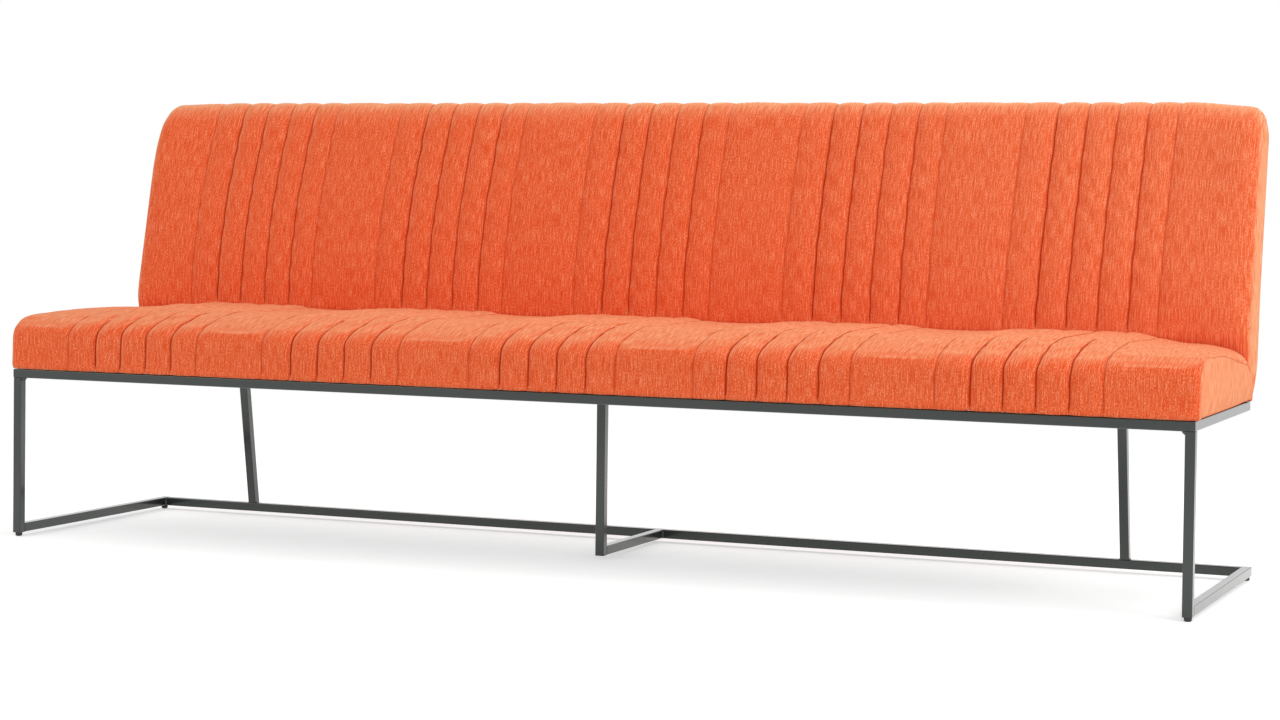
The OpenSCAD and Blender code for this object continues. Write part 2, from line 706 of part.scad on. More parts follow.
// A glide: a round foot with a chamfer below, and a steel stud that screws into the frame.
foot_h = floor_gap - glide_gap;
chamfer = (glide_d - glide_flat_d) / 2;
socket_h = foot_h * 0.6;
module glide_foot(x, y) {
  color(BLACK) translate([x, front_y + y, 0]) difference() {
    rotate_extrude($fn = 48) polygon([
      [0, 0], [glide_flat_d / 2, 0], [glide_d / 2, chamfer], [glide_d / 2, foot_h], [0, foot_h]
    ]);
    translate([0, 0, foot_h - socket_h]) cylinder(d = stud_d + 2 * thread_gap, h = socket_h + 1, $fn = 48);
  }
}
module glide_stud(x, y) {
  color(ZINC) translate([x, front_y + y, foot_h - socket_h])
    cylinder(d = stud_d, h = socket_h + glide_gap + stud_l, $fn = 48);
}
module glide_foot_front_left() { glide_foot(-glide_x, glide_front_y); }
module glide_stud_front_left() { glide_stud(-glide_x, glide_front_y); }
module glide_foot_front_right() { glide_foot(glide_x, glide_front_y); }
module glide_stud_front_right() { glide_stud(glide_x, glide_front_y); }
module glide_foot_rear_left() { glide_foot(-glide_x, glide_rear_y); }
module glide_stud_rear_left() { glide_stud(-glide_x, glide_rear_y); }
module glide_foot_rear_right() { glide_foot(glide_x, glide_rear_y); }
module glide_stud_rear_right() { glide_stud(glide_x, glide_rear_y); }

seat_rail_front();
seat_rail_rear();
seat_rail_left();
seat_rail_right();
seat_cross_rail();
front_leg_left();
front_leg_right();
centre_leg();
rear_leg_left();
rear_leg_right();
floor_runner_left();
floor_runner_right();
floor_runner_centre();
floor_rail_rear();
tube_end_plates();
leg_inserts();
runner_nuts();
seat_tabs();
seat_screws();
seat_board_front();
seat_board_rear();
seat_board_left();
seat_board_right();
seat_board_cross();
seat_webbing();
seat_foam();
seat_cover();
seat_lining();
back_bars();
back_screws();
back_board_top();
back_board_bottom();
back_board_left();
back_board_right();
back_uprights();
back_webbing();
back_foam();
back_rear_pad();
back_cover();
glide_foot_front_left();
glide_stud_front_left();
glide_foot_front_right();
glide_stud_front_right();
glide_foot_rear_left();
glide_stud_rear_left();
glide_foot_rear_right();
glide_stud_rear_right();
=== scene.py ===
"""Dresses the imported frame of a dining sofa: quilted covers, powder coated steel, glides and a pale studio."""

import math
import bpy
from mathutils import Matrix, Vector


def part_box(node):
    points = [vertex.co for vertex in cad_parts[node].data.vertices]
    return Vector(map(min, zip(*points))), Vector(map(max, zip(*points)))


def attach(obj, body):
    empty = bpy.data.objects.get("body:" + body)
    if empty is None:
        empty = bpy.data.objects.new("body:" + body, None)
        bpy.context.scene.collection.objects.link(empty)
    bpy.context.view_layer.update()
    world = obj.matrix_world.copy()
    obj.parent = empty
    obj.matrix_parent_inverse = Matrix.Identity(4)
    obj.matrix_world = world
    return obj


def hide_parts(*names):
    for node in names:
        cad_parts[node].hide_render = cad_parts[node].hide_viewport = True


bl_info = {
    "name": "Dining sofa",
    "version": (1, 0, 0),
    "blender": (4, 5, 0),
    "location": "View3D > Sidebar > Sofa",
    "description": "Covers, finishes and studio of a long dining sofa on a square tube frame",
    "category": "Object",
}

import bmesh
import bpy
import numpy as np
from mathutils import Matrix, Vector

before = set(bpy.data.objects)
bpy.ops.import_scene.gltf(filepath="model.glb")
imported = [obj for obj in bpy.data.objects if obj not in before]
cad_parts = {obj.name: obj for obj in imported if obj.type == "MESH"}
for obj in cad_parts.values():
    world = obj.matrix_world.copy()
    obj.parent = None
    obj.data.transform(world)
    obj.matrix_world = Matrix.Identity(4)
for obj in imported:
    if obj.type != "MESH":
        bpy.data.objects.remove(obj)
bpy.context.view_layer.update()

MM = 0.001

# All sizes below are in millimetres. Those of the covers count up from the top of the seat rail and back from its
# front face, and the frame's own heights count from the floor.

# Places that the covers and the welds share with the part's source.
FRONT_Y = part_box("seat_rail_front")[0][1] / MM
RAIL_TOP = 341.0
HALF_L = 1202.0
TUBE, RAIL_Z, FLOOR_Z, FLOOR_TOP = 18.0, 323.0, 7.5, 25.5
FRAME_L, SEAT_D, FLOOR_D, CENTRE_Y, REAR_LEG_X = 2400.0, 510.0, 558.0, 238.0, 962.0

# Seat: height at the front edge and at its crown, and the roundness of the front edge.
EDGE_T, SEAT_T, EDGE_R = 92.0, 128.0, 28.0
EDGE_Y, EDGE_Z = 26.0, 64.0
CROWN_START, CROWN_TOP, CROWN_END, CROWN_DROP = 16.8, 200.0, 300.0, 2.5
# Where the seat's top meets the back, and its rear face.
SEAT_REAR, MEET_Y, MEET_Z = 497.4, 442.8, 125.5
# The seat's hem under its front edge, and its line from the back down its rear: depth and height.
SEAT_HEM = (
    (14, 1.2), (5, 1.4), (0.5, 1.6), (-2.0, 0.0), (-2.8, -2.4), (-4.0, -2.6), (-4.4, 0), (-4.2, 8), (-3.4, 22),
    (-2.8, 36), (-2.6, 50),
)
SEAT_REAR_LINE = (
    (MEET_Y, MEET_Z), (450, 119.2), (466, 103.5), (485.4, 85.4), (494, 70),
    (SEAT_REAR, 52.7), (SEAT_REAR, 24), (SEAT_REAR, 0.6),
)
# The seat's top falls towards its ends and sags beside them, more so at the rear.
# Both covers stand out over the steel.
SEAT_END_FALL, END_ROUND = 38.0, 90.0
END_SAG, END_SAG_REAR, END_SAG_FLAT, END_SAG_RAMP = 10.0, 1.4, 105.0, 125.0
END_BULGE, SEAT_BULGE_REACH, BACK_BULGE_REACH, BACK_REAR_DRAW = 4.0, 60.0, 26.0, 1.5
FRONT_END_DRAW, FRONT_END_R = 10.0, 42.0
# The right end sinks this share more than the middle would, and the left end as much less.
LEAN = 0.3

# Back: its slope, its foot behind the rail's front, its length up the slope and its roundings.
RAKE = math.radians(12)
FOOT_Y, BACK_L = 537.536, 550.0
BACK_REAR_R, BACK_CORNER_R, BACK_SIDE_R, BACK_REAR_SIDE_R = 18.0, 27.0, 22.0, 6.0
BACK_DROOP, DROOP_REACH = 8.0, 180.0
# The crest stands this much above the length of the boards inside.
CREST_RISE = 7.0
# Underside from front to rear: depth, height, and the shares of the end's fall, of the sag and of the side's rounding.
BACK_UNDER = (
    (451.5, 118.8, 1, 1, 1), (466.5, 105, 0.9, 0.85, 0.4), (486.2, 87, 0.75, 0.6, 0.1), (495.5, 71, 0.68, 0.3, 0),
    (498.6, 53, 0.6, 0, 0), (498.6, 24, 0.3, 0, 0), (498.6, 1.2, 0, 0, 0),
)
# Foot, drawn forward under the rear face: how far up the slope and how far forward.
BACK_FOOT = ((-3.4, 27), (-5.1, 24), (14, 15), (34, 8), (60, 2.4), (85, 0))
# The front from its crest down: how far up the slope, and how far forward in the middle and at the ends.
BACK_FRONT = (
    (559.4, 34, 34), (560, 46, 47), (558.6, 57, 60), (553, 68, 73), (544, 76.5, 84), (530, 85, 95), (506, 92.5, 107),
    (463, 100.5, 116), (422, 105.5, 120), (381, 110.5, 121), (330, 115.5, 121), (277, 119, 121), (218, 120.5, 121),
    (172, 119, 121), (131, 115, 121), (110, 111.5, 120), (99, 109.8, 118),
)
# The middle line of its end panels: from where to where up the slope, and how far forward at the foot and above it.
PANEL_LOW, PANEL_HIGH, PANEL_FOOT_T, PANEL_T = 72.0, 480.0, 34.0, 56.0
# The same line of the seat's end panels: from where to where along the depth, and its height.
SEAT_PANEL_FRONT, SEAT_PANEL_REAR, SEAT_PANEL_Z = 56.0, 464.0, 46.0
# The seat's end hems: from where to where along the depth, their gap over the rail, which doubles past a place.
HEM_REAR, HEM_FRONT, HEM_GAP, HEM_LIFT_Y, HEM_LIFT_REACH = 488.0, 20.0, 1.6, 330.0, 120.0
# The two halves of an end panel meet on points this far apart.
CAP_PITCH = 8.0

# Pleats: strips of one width in groups, the first seam of each group set out a little.
PLEAT_W, PLEATS, GROUPS, GROUP_PITCH, PLEAT_SHIFT, FIRST_SEAM_OUT = 59.0, 5, 5, 451.25, -16.0, 4.5
# How far each group of seams strays along X from even spacing, as sewn: on the seat, and on the back at its foot,
# middle and top.
SEAT_STRAY = (3.5, 1.2, -0.1, 2.9, 7.6)
BACK_STRAY = ((5.5, 3, 9, 8.5, 4.4), (1.2, 0, 7.7, 9.2, 10.4), (3.5, 4, 6.5, 10, 14.5))
BACK_LAST_STRAY = -3.0
# How deep each seam of a group is drawn beside the seam depth, and so how dark its painted shade: the outer two are
# faint.
SEAM_PULL = (0.5, 1.25, 1.05, 0.95, 1.0, 0.55)
# A strip rolls into its seams and ends in a narrow crease.
# The tuck's fold and the painted shade of a seam reach this far from it.
ROLL_POWER, ROLL_SHARE, CREASE_W, LAP_W, MARK_W, MARK_MOST = 2.3, 0.76, 2.4, 7.0, 1.8, 1.1

# Distances of the grid's columns from a seam and from an end, for the cloth simulation and for the cover.
COARSE_NEAR = [0, 5, 14]
FINE_NEAR = [0, 0.7, 1.6, 3, 5, 8, 12]
COARSE_END = [0, 4, 12, 24, 42, 60, END_ROUND]
FINE_END = [0, 0.8, 2, 4, 7, 11, 16, 22, 29, 37, 46, 56, 68, END_ROUND]
COARSE_COLUMNS, COARSE_ROWS = 11, 13


def sizes():
    return bpy.context.scene.dining_sofa_sizes


def colours():
    return bpy.context.scene.dining_sofa_colours


# Shapes


def end_q(d, r):
    """Roundness at a distance d in from an end: 1 at the end and 0 past the radius r."""
    k = np.clip(1 - d / r, 0, 1)
    return 1 - np.sqrt(1 - k * k)


def ease(t):
    """Goes smoothly from 0 to 1 as t does."""
    t = np.clip(t, 0, 1)
    return t * t * (3 - 2 * t)


def snap(places):
    """Places moved to the nearest of the points where the two halves of an end panel meet."""
    return np.round(places / CAP_PITCH) * CAP_PITCH


def crown(y):
    """Height of the seat's crown above the rail."""
    rise = np.clip((y - CROWN_START) / (CROWN_TOP - CROWN_START), 0, 1)
    front = EDGE_T + (SEAT_T - EDGE_T) * np.sin(rise * math.pi / 2) ** 0.8
    rear = SEAT_T - CROWN_DROP * np.clip((y - CROWN_END) / (MEET_Y - CROWN_END), 0, None) ** 2
    return np.where(y < CROWN_TOP, front, rear)


def group_middle(g):
    return PLEAT_SHIFT + (g - (GROUPS - 1) / 2) * GROUP_PITCH


def seam_places():
    """Every seam's place along X, and how deep it is drawn."""
    return [
        (group_middle(g) + (s - PLEATS / 2) * PLEAT_W - (FIRST_SEAM_OUT if s == 0 else 0), SEAM_PULL[s])
        for g in range(GROUPS)
        for s in range(PLEATS + 1)
    ]


def spread(start, end, near, step):
    """Places from start to end: the distances in near at both ends, and even steps between them."""
    a, b = start + near[-1], end - near[-1]
    middle = np.linspace(a, b, max(2, int(math.ceil((b - a) / step)) + 1))
    return list(start + np.array(near[:-1])) + list(middle) + list(end - np.array(near[:-1][::-1]))


def columns(step, near, end_near):
    """Places along X for a cover's grid, close together at seams and ends."""
    seams = [x for x, _ in seam_places()]
    places = list(-HALF_L + np.array(end_near))
    places += list(np.arange(places[-1] + step, seams[0] - near[-1] - step * 0.5, step))
    places += list(seams[0] - np.array(near[::-1]))[:-1]
    for a, b in zip(seams[:-1], seams[1:]):
        places += spread(a, b, near, step)[:-1]
    places += list(seams[-1] + np.array(near))
    places += list(np.arange(places[-1] + step, HALF_L - end_near[-1] - step * 0.5, step))
    places += list(HALF_L - np.array(end_near[::-1]))
    return np.array(places)


class Across:
    """What varies along the sofa at the places x: strips' fullness, sags and how deep in a seam."""

    def __init__(self, x):
        s = sizes()
        at, pulls = (np.array(column) for column in zip(*seam_places()))
        deep = s.seam_depth / MM * pulls
        self.x = x
        self.from_end = HALF_L - np.abs(x)
        # The seams to the left and right of each place; past the first and the last one there is only one.
        k = np.searchsorted(at, x, side="right")
        left, right = x - np.append(-1e6, at)[k], np.append(at, 1e6)[k] - x
        near = np.minimum(left, right)
        depth = np.where(left <= right, np.append(deep[0], deep)[k], np.append(deep, deep[-1])[k])
        # A strip is full in its middle and rolls into its seams; the crease itself is narrow.
        roll = 1 - (1 - np.clip(near / (PLEAT_W / 2), 0, 1)) ** ROLL_POWER
        crease = 1 - np.exp(-near / CREASE_W)
        self.offset = depth * (-1 + ROLL_SHARE * roll + (1 - ROLL_SHARE) * crease) + s.strip_fullness / MM * roll
        # The tuck is folded to one side, so each strip ends a little higher on its left seam.
        lap = s.tuck_lap / MM * depth / np.maximum(deep.max(), 1e-6)
        self.offset += np.where(left < right, lap * np.exp(-left / LAP_W) * crease, 0)
        # Painted shade in a seam: most at its middle, more in deeper seams.
        self.mask = np.exp(-((near / MARK_W) ** 2)) * np.clip(depth / s.seam_depth * MM, 0, MARK_MOST)
        # Between two groups the plain panel sinks towards the back.
        middles = [(at[k * (PLEATS + 1) - 1] + at[k * (PLEATS + 1)]) / 2 for k in range(1, GROUPS)]
        reach = np.abs(x[:, None] - np.array(middles)[None]).min(1)
        half = (GROUP_PITCH - PLEATS * PLEAT_W) / 2 + PLEAT_W
        self.sag = s.panel_sag / MM * (1 - ease((reach - 0.22 * half) / (0.7 * half)))
        self.lean = 1 + LEAN * x / HALF_L
        self.end_sag = END_SAG * (1 - ease((self.from_end - END_SAG_FLAT) / END_SAG_RAMP)) * self.lean


def lengths_along(points):
    """How far along a polyline each of its points lies."""
    return np.concatenate([[0], np.cumsum(np.hypot(*np.diff(points[:, :2], axis=0).T))])


def smooth_line(points, step, window):
    """A polyline rounded over a window and then cut in even steps, with the outward side and the way along it."""
    p = np.array(points, float)
    along = lengths_along(p)
    fine = np.linspace(0, along[-1], int(along[-1]) + 1)
    q = np.stack([np.interp(fine, along, p[:, k]) for k in (0, 1)], 1)
    half = window // 2
    kernel = np.ones(2 * half + 1) / (2 * half + 1)
    for _ in range(2):
        first = 2 * q[0] - q[1 : half + 1][::-1]
        last = 2 * q[-1] - q[-half - 1 : -1][::-1]
        padded = np.concatenate([first, q, last])
        q = np.stack([np.convolve(padded[:, k], kernel, "valid") for k in (0, 1)], 1)
    along = lengths_along(q)
    even = np.linspace(0, along[-1], int(round(along[-1] / step)) + 1)
    q = np.stack([np.interp(even, along, q[:, k]) for k in (0, 1)], 1)
    slope = np.gradient(q, axis=0)
    slope /= np.linalg.norm(slope, axis=1)[:, None]
    return q, np.stack([-slope[:, 1], slope[:, 0]], 1), even


def wander(across, along):
    """How far seams stray along X, as sewn by hand: under 1 mm, and nothing near the ends."""
    x, v = across.x[:, None], along[None]
    stray = 0.45 * np.sin(x * 0.029 + v * 0.047) + 0.4 * np.sin(x * 0.083 - v * 0.11 + 1.3)
    return stray * ease((across.from_end - 40) / 80)[:, None]


def group_stray(x, strays, last=0):
    """Each group of seams moved along X by its own amount and its last seam by last more.

    The plain panels take up the rest.
    """
    half = PLEATS * PLEAT_W / 2 + 5
    places, moves = [-HALF_L], [0.0]
    for g, move in enumerate(strays):
        centre = group_middle(g)
        places += [centre - half, centre + half - PLEAT_W, centre + half]
        moves += [move, move, move + last]
    return np.interp(x, places + [HALF_L], moves + [0.0])


class SeatLine:
    """The seat's outline from its hem under the front, over the top and down its rear.

    y goes back and z up from the rail.
    """

    def __init__(self, step):
        arc = [(EDGE_Y - EDGE_R * math.cos(a), EDGE_Z + EDGE_R * math.sin(a)) for a in np.radians(range(4, 66, 6))]
        top = [(y, float(crown(np.array(y)))) for y in np.arange(24.0, MEET_Y, 8)]
        q, self.out, self.along = smooth_line([*SEAT_HEM, *arc, *top, *SEAT_REAR_LINE], step, 9)
        self.y, self.z = y, z = q[:, 0], q[:, 1]
        # Seams start at the hem, go over the front edge and get fainter towards the back.
        self.seam = np.clip(np.where(y < 60, z / 14, 1), 0.15, 1)
        self.seam *= 1 - 0.4 * ease((y - 380) / 60)
        self.seam *= 1 - ease((y - MEET_Y) / 30)
        low = np.where(y > MEET_Y, np.clip(z / MEET_Z, 0, 1), 1)
        self.fall = SEAT_END_FALL * np.clip((y - 20) / (MEET_Y - 20), 0, 1) * np.clip(z / 96, 0, 1)
        self.sag = ease((y - 85) / 190) * (1 - 0.3 * ease((y - 260) / 120)) * low
        self.end_sag = ease((y - 45) / 90) * (1 + (END_SAG_REAR - 1) * ease((y - 245) / 110)) * low
        self.side = ease(1 - (y - 10) / 40)


def seat_sheet(across, line):
    """Grid of the seat's surface: [place across, row, xyz] in millimetres."""
    a, r = across, line
    p = np.zeros((len(a.x), len(r.y), 3))
    push = a.offset[:, None] * r.seam[None]
    p[..., 0] = (a.x + group_stray(a.x, SEAT_STRAY))[:, None] + wander(a, r.along)
    p[..., 1] = FRONT_Y + r.y[None] + push * r.out[None, :, 0]
    p[..., 1] += FRONT_END_DRAW * end_q(a.from_end, FRONT_END_R)[:, None] * r.side[None]
    p[..., 2] = RAIL_TOP + r.z[None] + push * r.out[None, :, 1]
    p[..., 2] -= end_q(a.from_end, END_ROUND)[:, None] * r.fall[None] + a.sag[:, None] * r.sag[None]
    p[..., 2] -= a.end_sag[:, None] * r.end_sag[None]
    # The ends stand out over the steel.
    bulge = np.sign(a.x) * END_BULGE * ease(1 - a.from_end / SEAT_BULGE_REACH)
    p[..., 0] += bulge[:, None] * ease((r.z + 4) / 10)[None]
    return p


def back_frame(s, t):
    """Y and Z of a place in the back: s up its slope and t forward from its rear face."""
    y = FRONT_Y + FOOT_Y + s * math.sin(RAKE) - t * math.cos(RAKE)
    return y, RAIL_TOP + s * math.cos(RAKE) + t * math.sin(RAKE)


def in_back(y, z):
    """How far up the back's slope and how far forward from its rear face a place lies."""
    dy, dz = y - FRONT_Y - FOOT_Y, z - RAIL_TOP
    return dy * math.sin(RAKE) + dz * math.cos(RAKE), dz * math.sin(RAKE) - dy * math.cos(RAKE)


def back_outline():
    """The back's foot, rear face, crest and front.

    Each row says how far up the slope it lies, how far forward in the middle and at the ends, and whether it is on
    the front.
    """
    rear = [*BACK_FOOT, *((s, 0) for s in np.linspace(120, BACK_L - BACK_REAR_R - 12, 30))]
    for k in np.radians(range(0, 91, 15)):
        rear.append((BACK_L + CREST_RISE - BACK_REAR_R * (1 - math.sin(k)), BACK_REAR_R * (1 - math.cos(k))))
    # Crest and front, at even steps along a smooth line through their points.
    front = np.array(BACK_FRONT)
    along = lengths_along(front)
    fine = np.linspace(0, along[-1], 110)
    return [(s, t, t, False) for s, t in rear] + [(s, t, e, True) for s, t, e in resample(front, along, fine)]


def back_rows(across):
    """Rows round the back, each with its depth and height at every place across, and how much its seams are drawn."""
    a = across
    q_top, q_side = end_q(a.from_end, BACK_CORNER_R), end_q(a.from_end, BACK_SIDE_R)
    fall = end_q(a.from_end, END_ROUND) * SEAT_END_FALL
    sag = a.sag * 0.7 + a.end_sag * END_SAG_REAR
    droop = BACK_DROOP * (1 - ease(a.from_end / DROOP_REACH)) * a.lean
    to_end = 1 - ease((a.from_end - 10) / 130)
    rows = [(y + q_side * BACK_SIDE_R * r, z - fall * f - sag * g, 0.0) for y, z, f, g, r in BACK_UNDER]
    for s, t, e, forward in back_outline():
        high = np.clip((s - BACK_L * 0.55) / (BACK_L * 0.45), 0, 1)
        # The ends round off towards the front more than towards the rear.
        # The crest goes over from one to the other.
        front_share = ease(t / 70) if s > BACK_L * 0.55 else float(forward)
        depth = t + (e - t) * to_end
        depth = depth + q_side * (BACK_REAR_SIDE_R * (1 - front_share) - BACK_SIDE_R * front_share)
        y, z = back_frame(s - (q_top * BACK_CORNER_R + droop) * high, depth)
        rows.append((y - FRONT_Y, z - RAIL_TOP, (0.55 + 0.45 * ease((BACK_L - s) / 60)) if forward else 0.0))
    # The front meets the seat where the seat is low at its ends.
    first_y, first_z = rows[0][0], rows[0][1]
    y, z, share = rows[-1]
    for f in (0.35, 0.7, 0.9):
        rows.append((y + (first_y - y) * f**3, np.minimum(z, z + (first_z - z) * f), share))
    return rows


def back_ring(across, step):
    """Rings round the back, [place across, row, xyz].

    They go from the front's foot under, up the rear, over and down the front. Also how far along the ring each row
    lies, and how much its seams are drawn.
    """
    a = across
    n, mid = len(a.x), len(a.x) // 2
    rows = back_rows(a)
    ring = np.stack([np.stack([r[0], r[1]], -1) for r in rows], 1)
    share = np.array([r[2] for r in rows])
    # Even steps round each ring, cut at the same share of its length.
    closed = np.concatenate([ring, ring[:, :1]], 1)
    along = np.concatenate([[0], np.cumsum(np.linalg.norm(np.diff(closed[mid], axis=0), axis=1))])
    count = int(round(along[-1] / step))
    even = np.linspace(0, along[-1], count + 1)[:-1]
    out = np.zeros((n, count, 3))
    for i in range(n):
        for k in (0, 1):
            out[i, :, k + 1] = np.interp(even, along, closed[i, :, k])
    up = np.clip((out[mid, :, 2] - MEET_Z) / 440, 0, 1)
    out[..., 0] = a.x[:, None] + wander(a, even)
    for moves, part in zip(BACK_STRAY, (np.clip(1 - 2 * up, 0, 1), 1 - np.abs(2 * up - 1), np.clip(2 * up - 1, 0, 1))):
        out[..., 0] += group_stray(a.x, moves, BACK_LAST_STRAY)[:, None] * part[None]
    # The ends stand out at the front and draw in a little at the rear.
    forward = np.clip(in_back(out[mid, :, 1] + FRONT_Y, out[mid, :, 2] + RAIL_TOP)[1] / 100, 0, 1)
    stand = END_BULGE * forward - BACK_REAR_DRAW * (1 - forward)
    at_end = np.sign(a.x) * ease(1 - a.from_end / BACK_BULGE_REACH)
    out[..., 0] += at_end[:, None] * (stand * ease((up + 0.1) / 0.2))[None]
    weight = np.interp(even, along, np.append(share, share[0]))
    weight *= ease((along[-1] - even) / 18)
    # The surface's outward side, taken round the ring at the middle of the sofa.
    middle = out[mid, :, 1:]
    slope = np.roll(middle, -1, 0) - np.roll(middle, 1, 0)
    slope /= np.linalg.norm(slope, axis=1)[:, None]
    side = np.stack([slope[:, 1], -slope[:, 0]], 1)
    if ((middle - middle.mean(0)) * side).sum() < 0:
        side = -side
    push = a.offset[:, None] * weight[None]
    out[..., 1] += FRONT_Y + push * side[None, :, 0]
    out[..., 2] += RAIL_TOP + push * side[None, :, 1]
    return out, even, weight


# Mesh making


def resample(field, old, new):
    """A grid's values at new places along its first side, by smooth curves through the old ones."""
    i = np.clip(np.searchsorted(old, new, side="right") - 1, 0, len(old) - 2)
    t = ((new - old[i]) / (old[i + 1] - old[i])).reshape((-1,) + (1,) * (field.ndim - 1))
    a, b, c, d = (field[np.clip(i + k, 0, len(old) - 1)] for k in (-1, 0, 1, 2))
    return b + 0.5 * t * (c - a + t * (2 * a - 5 * b + 4 * c - d + t * (3 * (b - c) + d - a)))


def grid_faces(n, rows, closed):
    """Faces of a grid of n columns; a closed one goes round."""
    last = rows if closed else rows - 1
    return [
        (i * rows + k, i * rows + (k + 1) % rows, (i + 1) * rows + (k + 1) % rows, (i + 1) * rows + k)
        for i in range(n - 1)
        for k in range(last)
    ]


CLOTH_SETTINGS = {
    "quality": 6,
    "mass": 0.3,
    "tension_stiffness": 18,
    "compression_stiffness": 18,
    "shear_stiffness": 8,
    "bending_stiffness": 0.6,
    "use_pressure": True,
    "uniform_pressure_force": 4.0,
    "shrink_min": -0.004,
    "vertex_group_mass": "held",
}
CLOTH_FRAMES = 20


def cloth_swell(points, held, closed, most):
    """Blows a coarse sheet up as cloth, still where held is 1, and gives how far each point moved, at most so far."""
    n, rows, _ = points.shape
    flat = points.reshape(-1, 3) * MM
    mesh = bpy.data.meshes.new("swell")
    mesh.from_pydata(flat.tolist(), [], grid_faces(n, rows, closed))
    work = bpy.data.objects.new("swell", mesh)
    bpy.context.collection.objects.link(work)
    group = work.vertex_groups.new(name="held")
    group.add(np.flatnonzero(held.reshape(-1)).tolist(), 1.0, "REPLACE")
    cloth = work.modifiers.new("Cloth", "CLOTH")
    for key, value in CLOTH_SETTINGS.items():
        setattr(cloth.settings, key, value)
    cloth.settings.effector_weights.gravity = 0
    cloth.collision_settings.use_collision = False
    cloth.point_cache.frame_start, cloth.point_cache.frame_end = 1, CLOTH_FRAMES
    scene = bpy.context.scene
    for f in range(1, CLOTH_FRAMES + 1):
        scene.frame_set(f)
        done = work.evaluated_get(bpy.context.evaluated_depsgraph_get())
    co = np.zeros(len(flat) * 3)
    done.data.vertices.foreach_get("co", co)
    scene.frame_set(1)
    bpy.data.objects.remove(work)
    bpy.data.meshes.remove(mesh)
    moved = (co.reshape(-1, 3) - flat) / MM
    length = np.linalg.norm(moved, axis=1)
    moved *= (most * np.tanh(length / most) / np.maximum(length, 1e-9))[:, None]
    return moved.reshape(n, rows, 3)


# An end panel's rings, as shares of the way from its edge to its middle line, and how it stands out.
CAP_STEPS = (0.02, 0.05, 0.1, 0.18, 0.3, 0.45, 0.62, 0.8, 1.0)
CAP_BULGE, CAP_EDGE = 3.0, 0.03


def cap_ring(ring, inner, sign, groove, f):
    """A ring of an end panel, a share f of the way to its middle line, where the panel stands out a little."""
    out = 1 - (1 - f) ** 3
    p = ring + (inner - ring) * f
    p[:, 0] = ring[:, 0] + (sign * np.abs(ring[:, 0]).max() - ring[:, 0]) * out
    p[:, 0] += sign * (CAP_BULGE * out - groove * math.exp(-((f / CAP_EDGE) ** 2)))
    return p


def cover_object(name, points, closed, places, along, mask, light_paint, caps, edge_mark, panel_light_paint, groove=0.0):
    """A cover from its grid, with its end panels.

    places and along give the cloth's own measures across and along; mask says how deep in a seam a point lies, which
    sets its painted shade, and the grid after it how much painted light makes it paler. Each cap is a column, the hem's
    points that close its edge, a function that gives each point's place on the panel's middle line, and the end's sign.
    """
    n, rows, _ = points.shape
    verts = [points.reshape(-1, 3)]
    faces = grid_faces(n, rows, closed)
    marks, light_paints = [mask.reshape(-1)], [light_paint.reshape(-1)]
    start = n * rows
    flats = []
    for column, hem, inner, sign in caps:
        loop = np.concatenate([points[column], hem])
        verts.append(hem)
        # The hem, where the cloth turns under, gets the full painted shade of a seam.
        marks.append(np.ones(len(hem)))
        light_paints.append(np.zeros(len(hem)))
        edge = np.append(np.full(rows, edge_mark), np.ones(len(hem)))
        edge_light_paint = np.append(light_paint[column], np.zeros(len(hem)))
        first = column % n * rows
        ids = [*range(first, first + rows), *range(start, start + len(hem))]
        start += len(hem)
        middle, m = inner(loop), len(loop)
        for f in CAP_STEPS:
            verts.append(cap_ring(loop, middle, sign, groove, f))
            # The painted shade along the panel's edge fades within its first rings; the panel takes its painted light.
            marks.append(edge * math.exp(-((f / CAP_EDGE) ** 2)))
            light_paints.append(np.maximum(edge_light_paint * (1 - f), panel_light_paint * min(1, f / 0.05)))
            new = list(range(start, start + m))
            flats += [(ids[k], ids[(k + 1) % m], new[(k + 1) % m], new[k]) for k in range(m)]
            ids = new
            start += m
    verts = np.concatenate(verts)
    mesh = bpy.data.meshes.new(name)
    mesh.from_pydata((verts * MM).tolist(), [], faces + flats)
    layer = mesh.uv_layers.new(name="cloth")
    loops = np.zeros(len(mesh.loops), int)
    mesh.loops.foreach_get("vertex_index", loops)
    coords = np.zeros((len(loops), 2))
    of_grid = len(faces) * 4
    grid = loops[:of_grid]
    coords[:of_grid, 0] = places[grid // rows] * MM
    coords[:of_grid, 1] = along[grid % rows] * MM
    if closed:
        # The last face of each ring runs on past the seam of the grid.
        row = (grid % rows).reshape(-1, 4)
        runs_on = (row == 0) & (row == rows - 1).any(1)[:, None]
        coords[:of_grid][runs_on.reshape(-1), 1] += (along[1] + along[-1]) * MM
    # The end panels are seen along their surface, so their yarn is drawn 1.25 times as wide.
    coords[of_grid:, 0] = verts[loops[of_grid:], 1] * MM / 1.25
    coords[of_grid:, 1] = verts[loops[of_grid:], 2] * MM
    layer.data.foreach_set("uv", coords.reshape(-1))
    for key, values in (("seam", marks), ("painted_light", light_paints)):
        attribute = mesh.attributes.new(key, "FLOAT", "POINT")
        attribute.data.foreach_set("value", np.concatenate(values).astype(np.float32))
    bm = bmesh.new()
    bm.from_mesh(mesh)
    bmesh.ops.remove_doubles(bm, verts=bm.verts, dist=0.0002)
    bmesh.ops.recalc_face_normals(bm, faces=bm.faces)
    bm.to_mesh(mesh)
    bm.free()
    mesh.shade_smooth()
    made = bpy.data.objects.new(name, mesh)
    bpy.context.collection.objects.link(made)
    return made


# Materials


def linear(rgb):
    """Linear colour from an sRGB hex value such as EB643C."""
    parts = [int(rgb[i : i + 2], 16) / 255 for i in (0, 2, 4)]
    return tuple(c / 12.92 if c <= 0.04045 else ((c + 0.055) / 1.055) ** 2.4 for c in parts)


def rgba(colour):
    """A linear colour, or an sRGB hex value, as a socket takes it."""
    return (*(linear(colour) if isinstance(colour, str) else colour), 1)


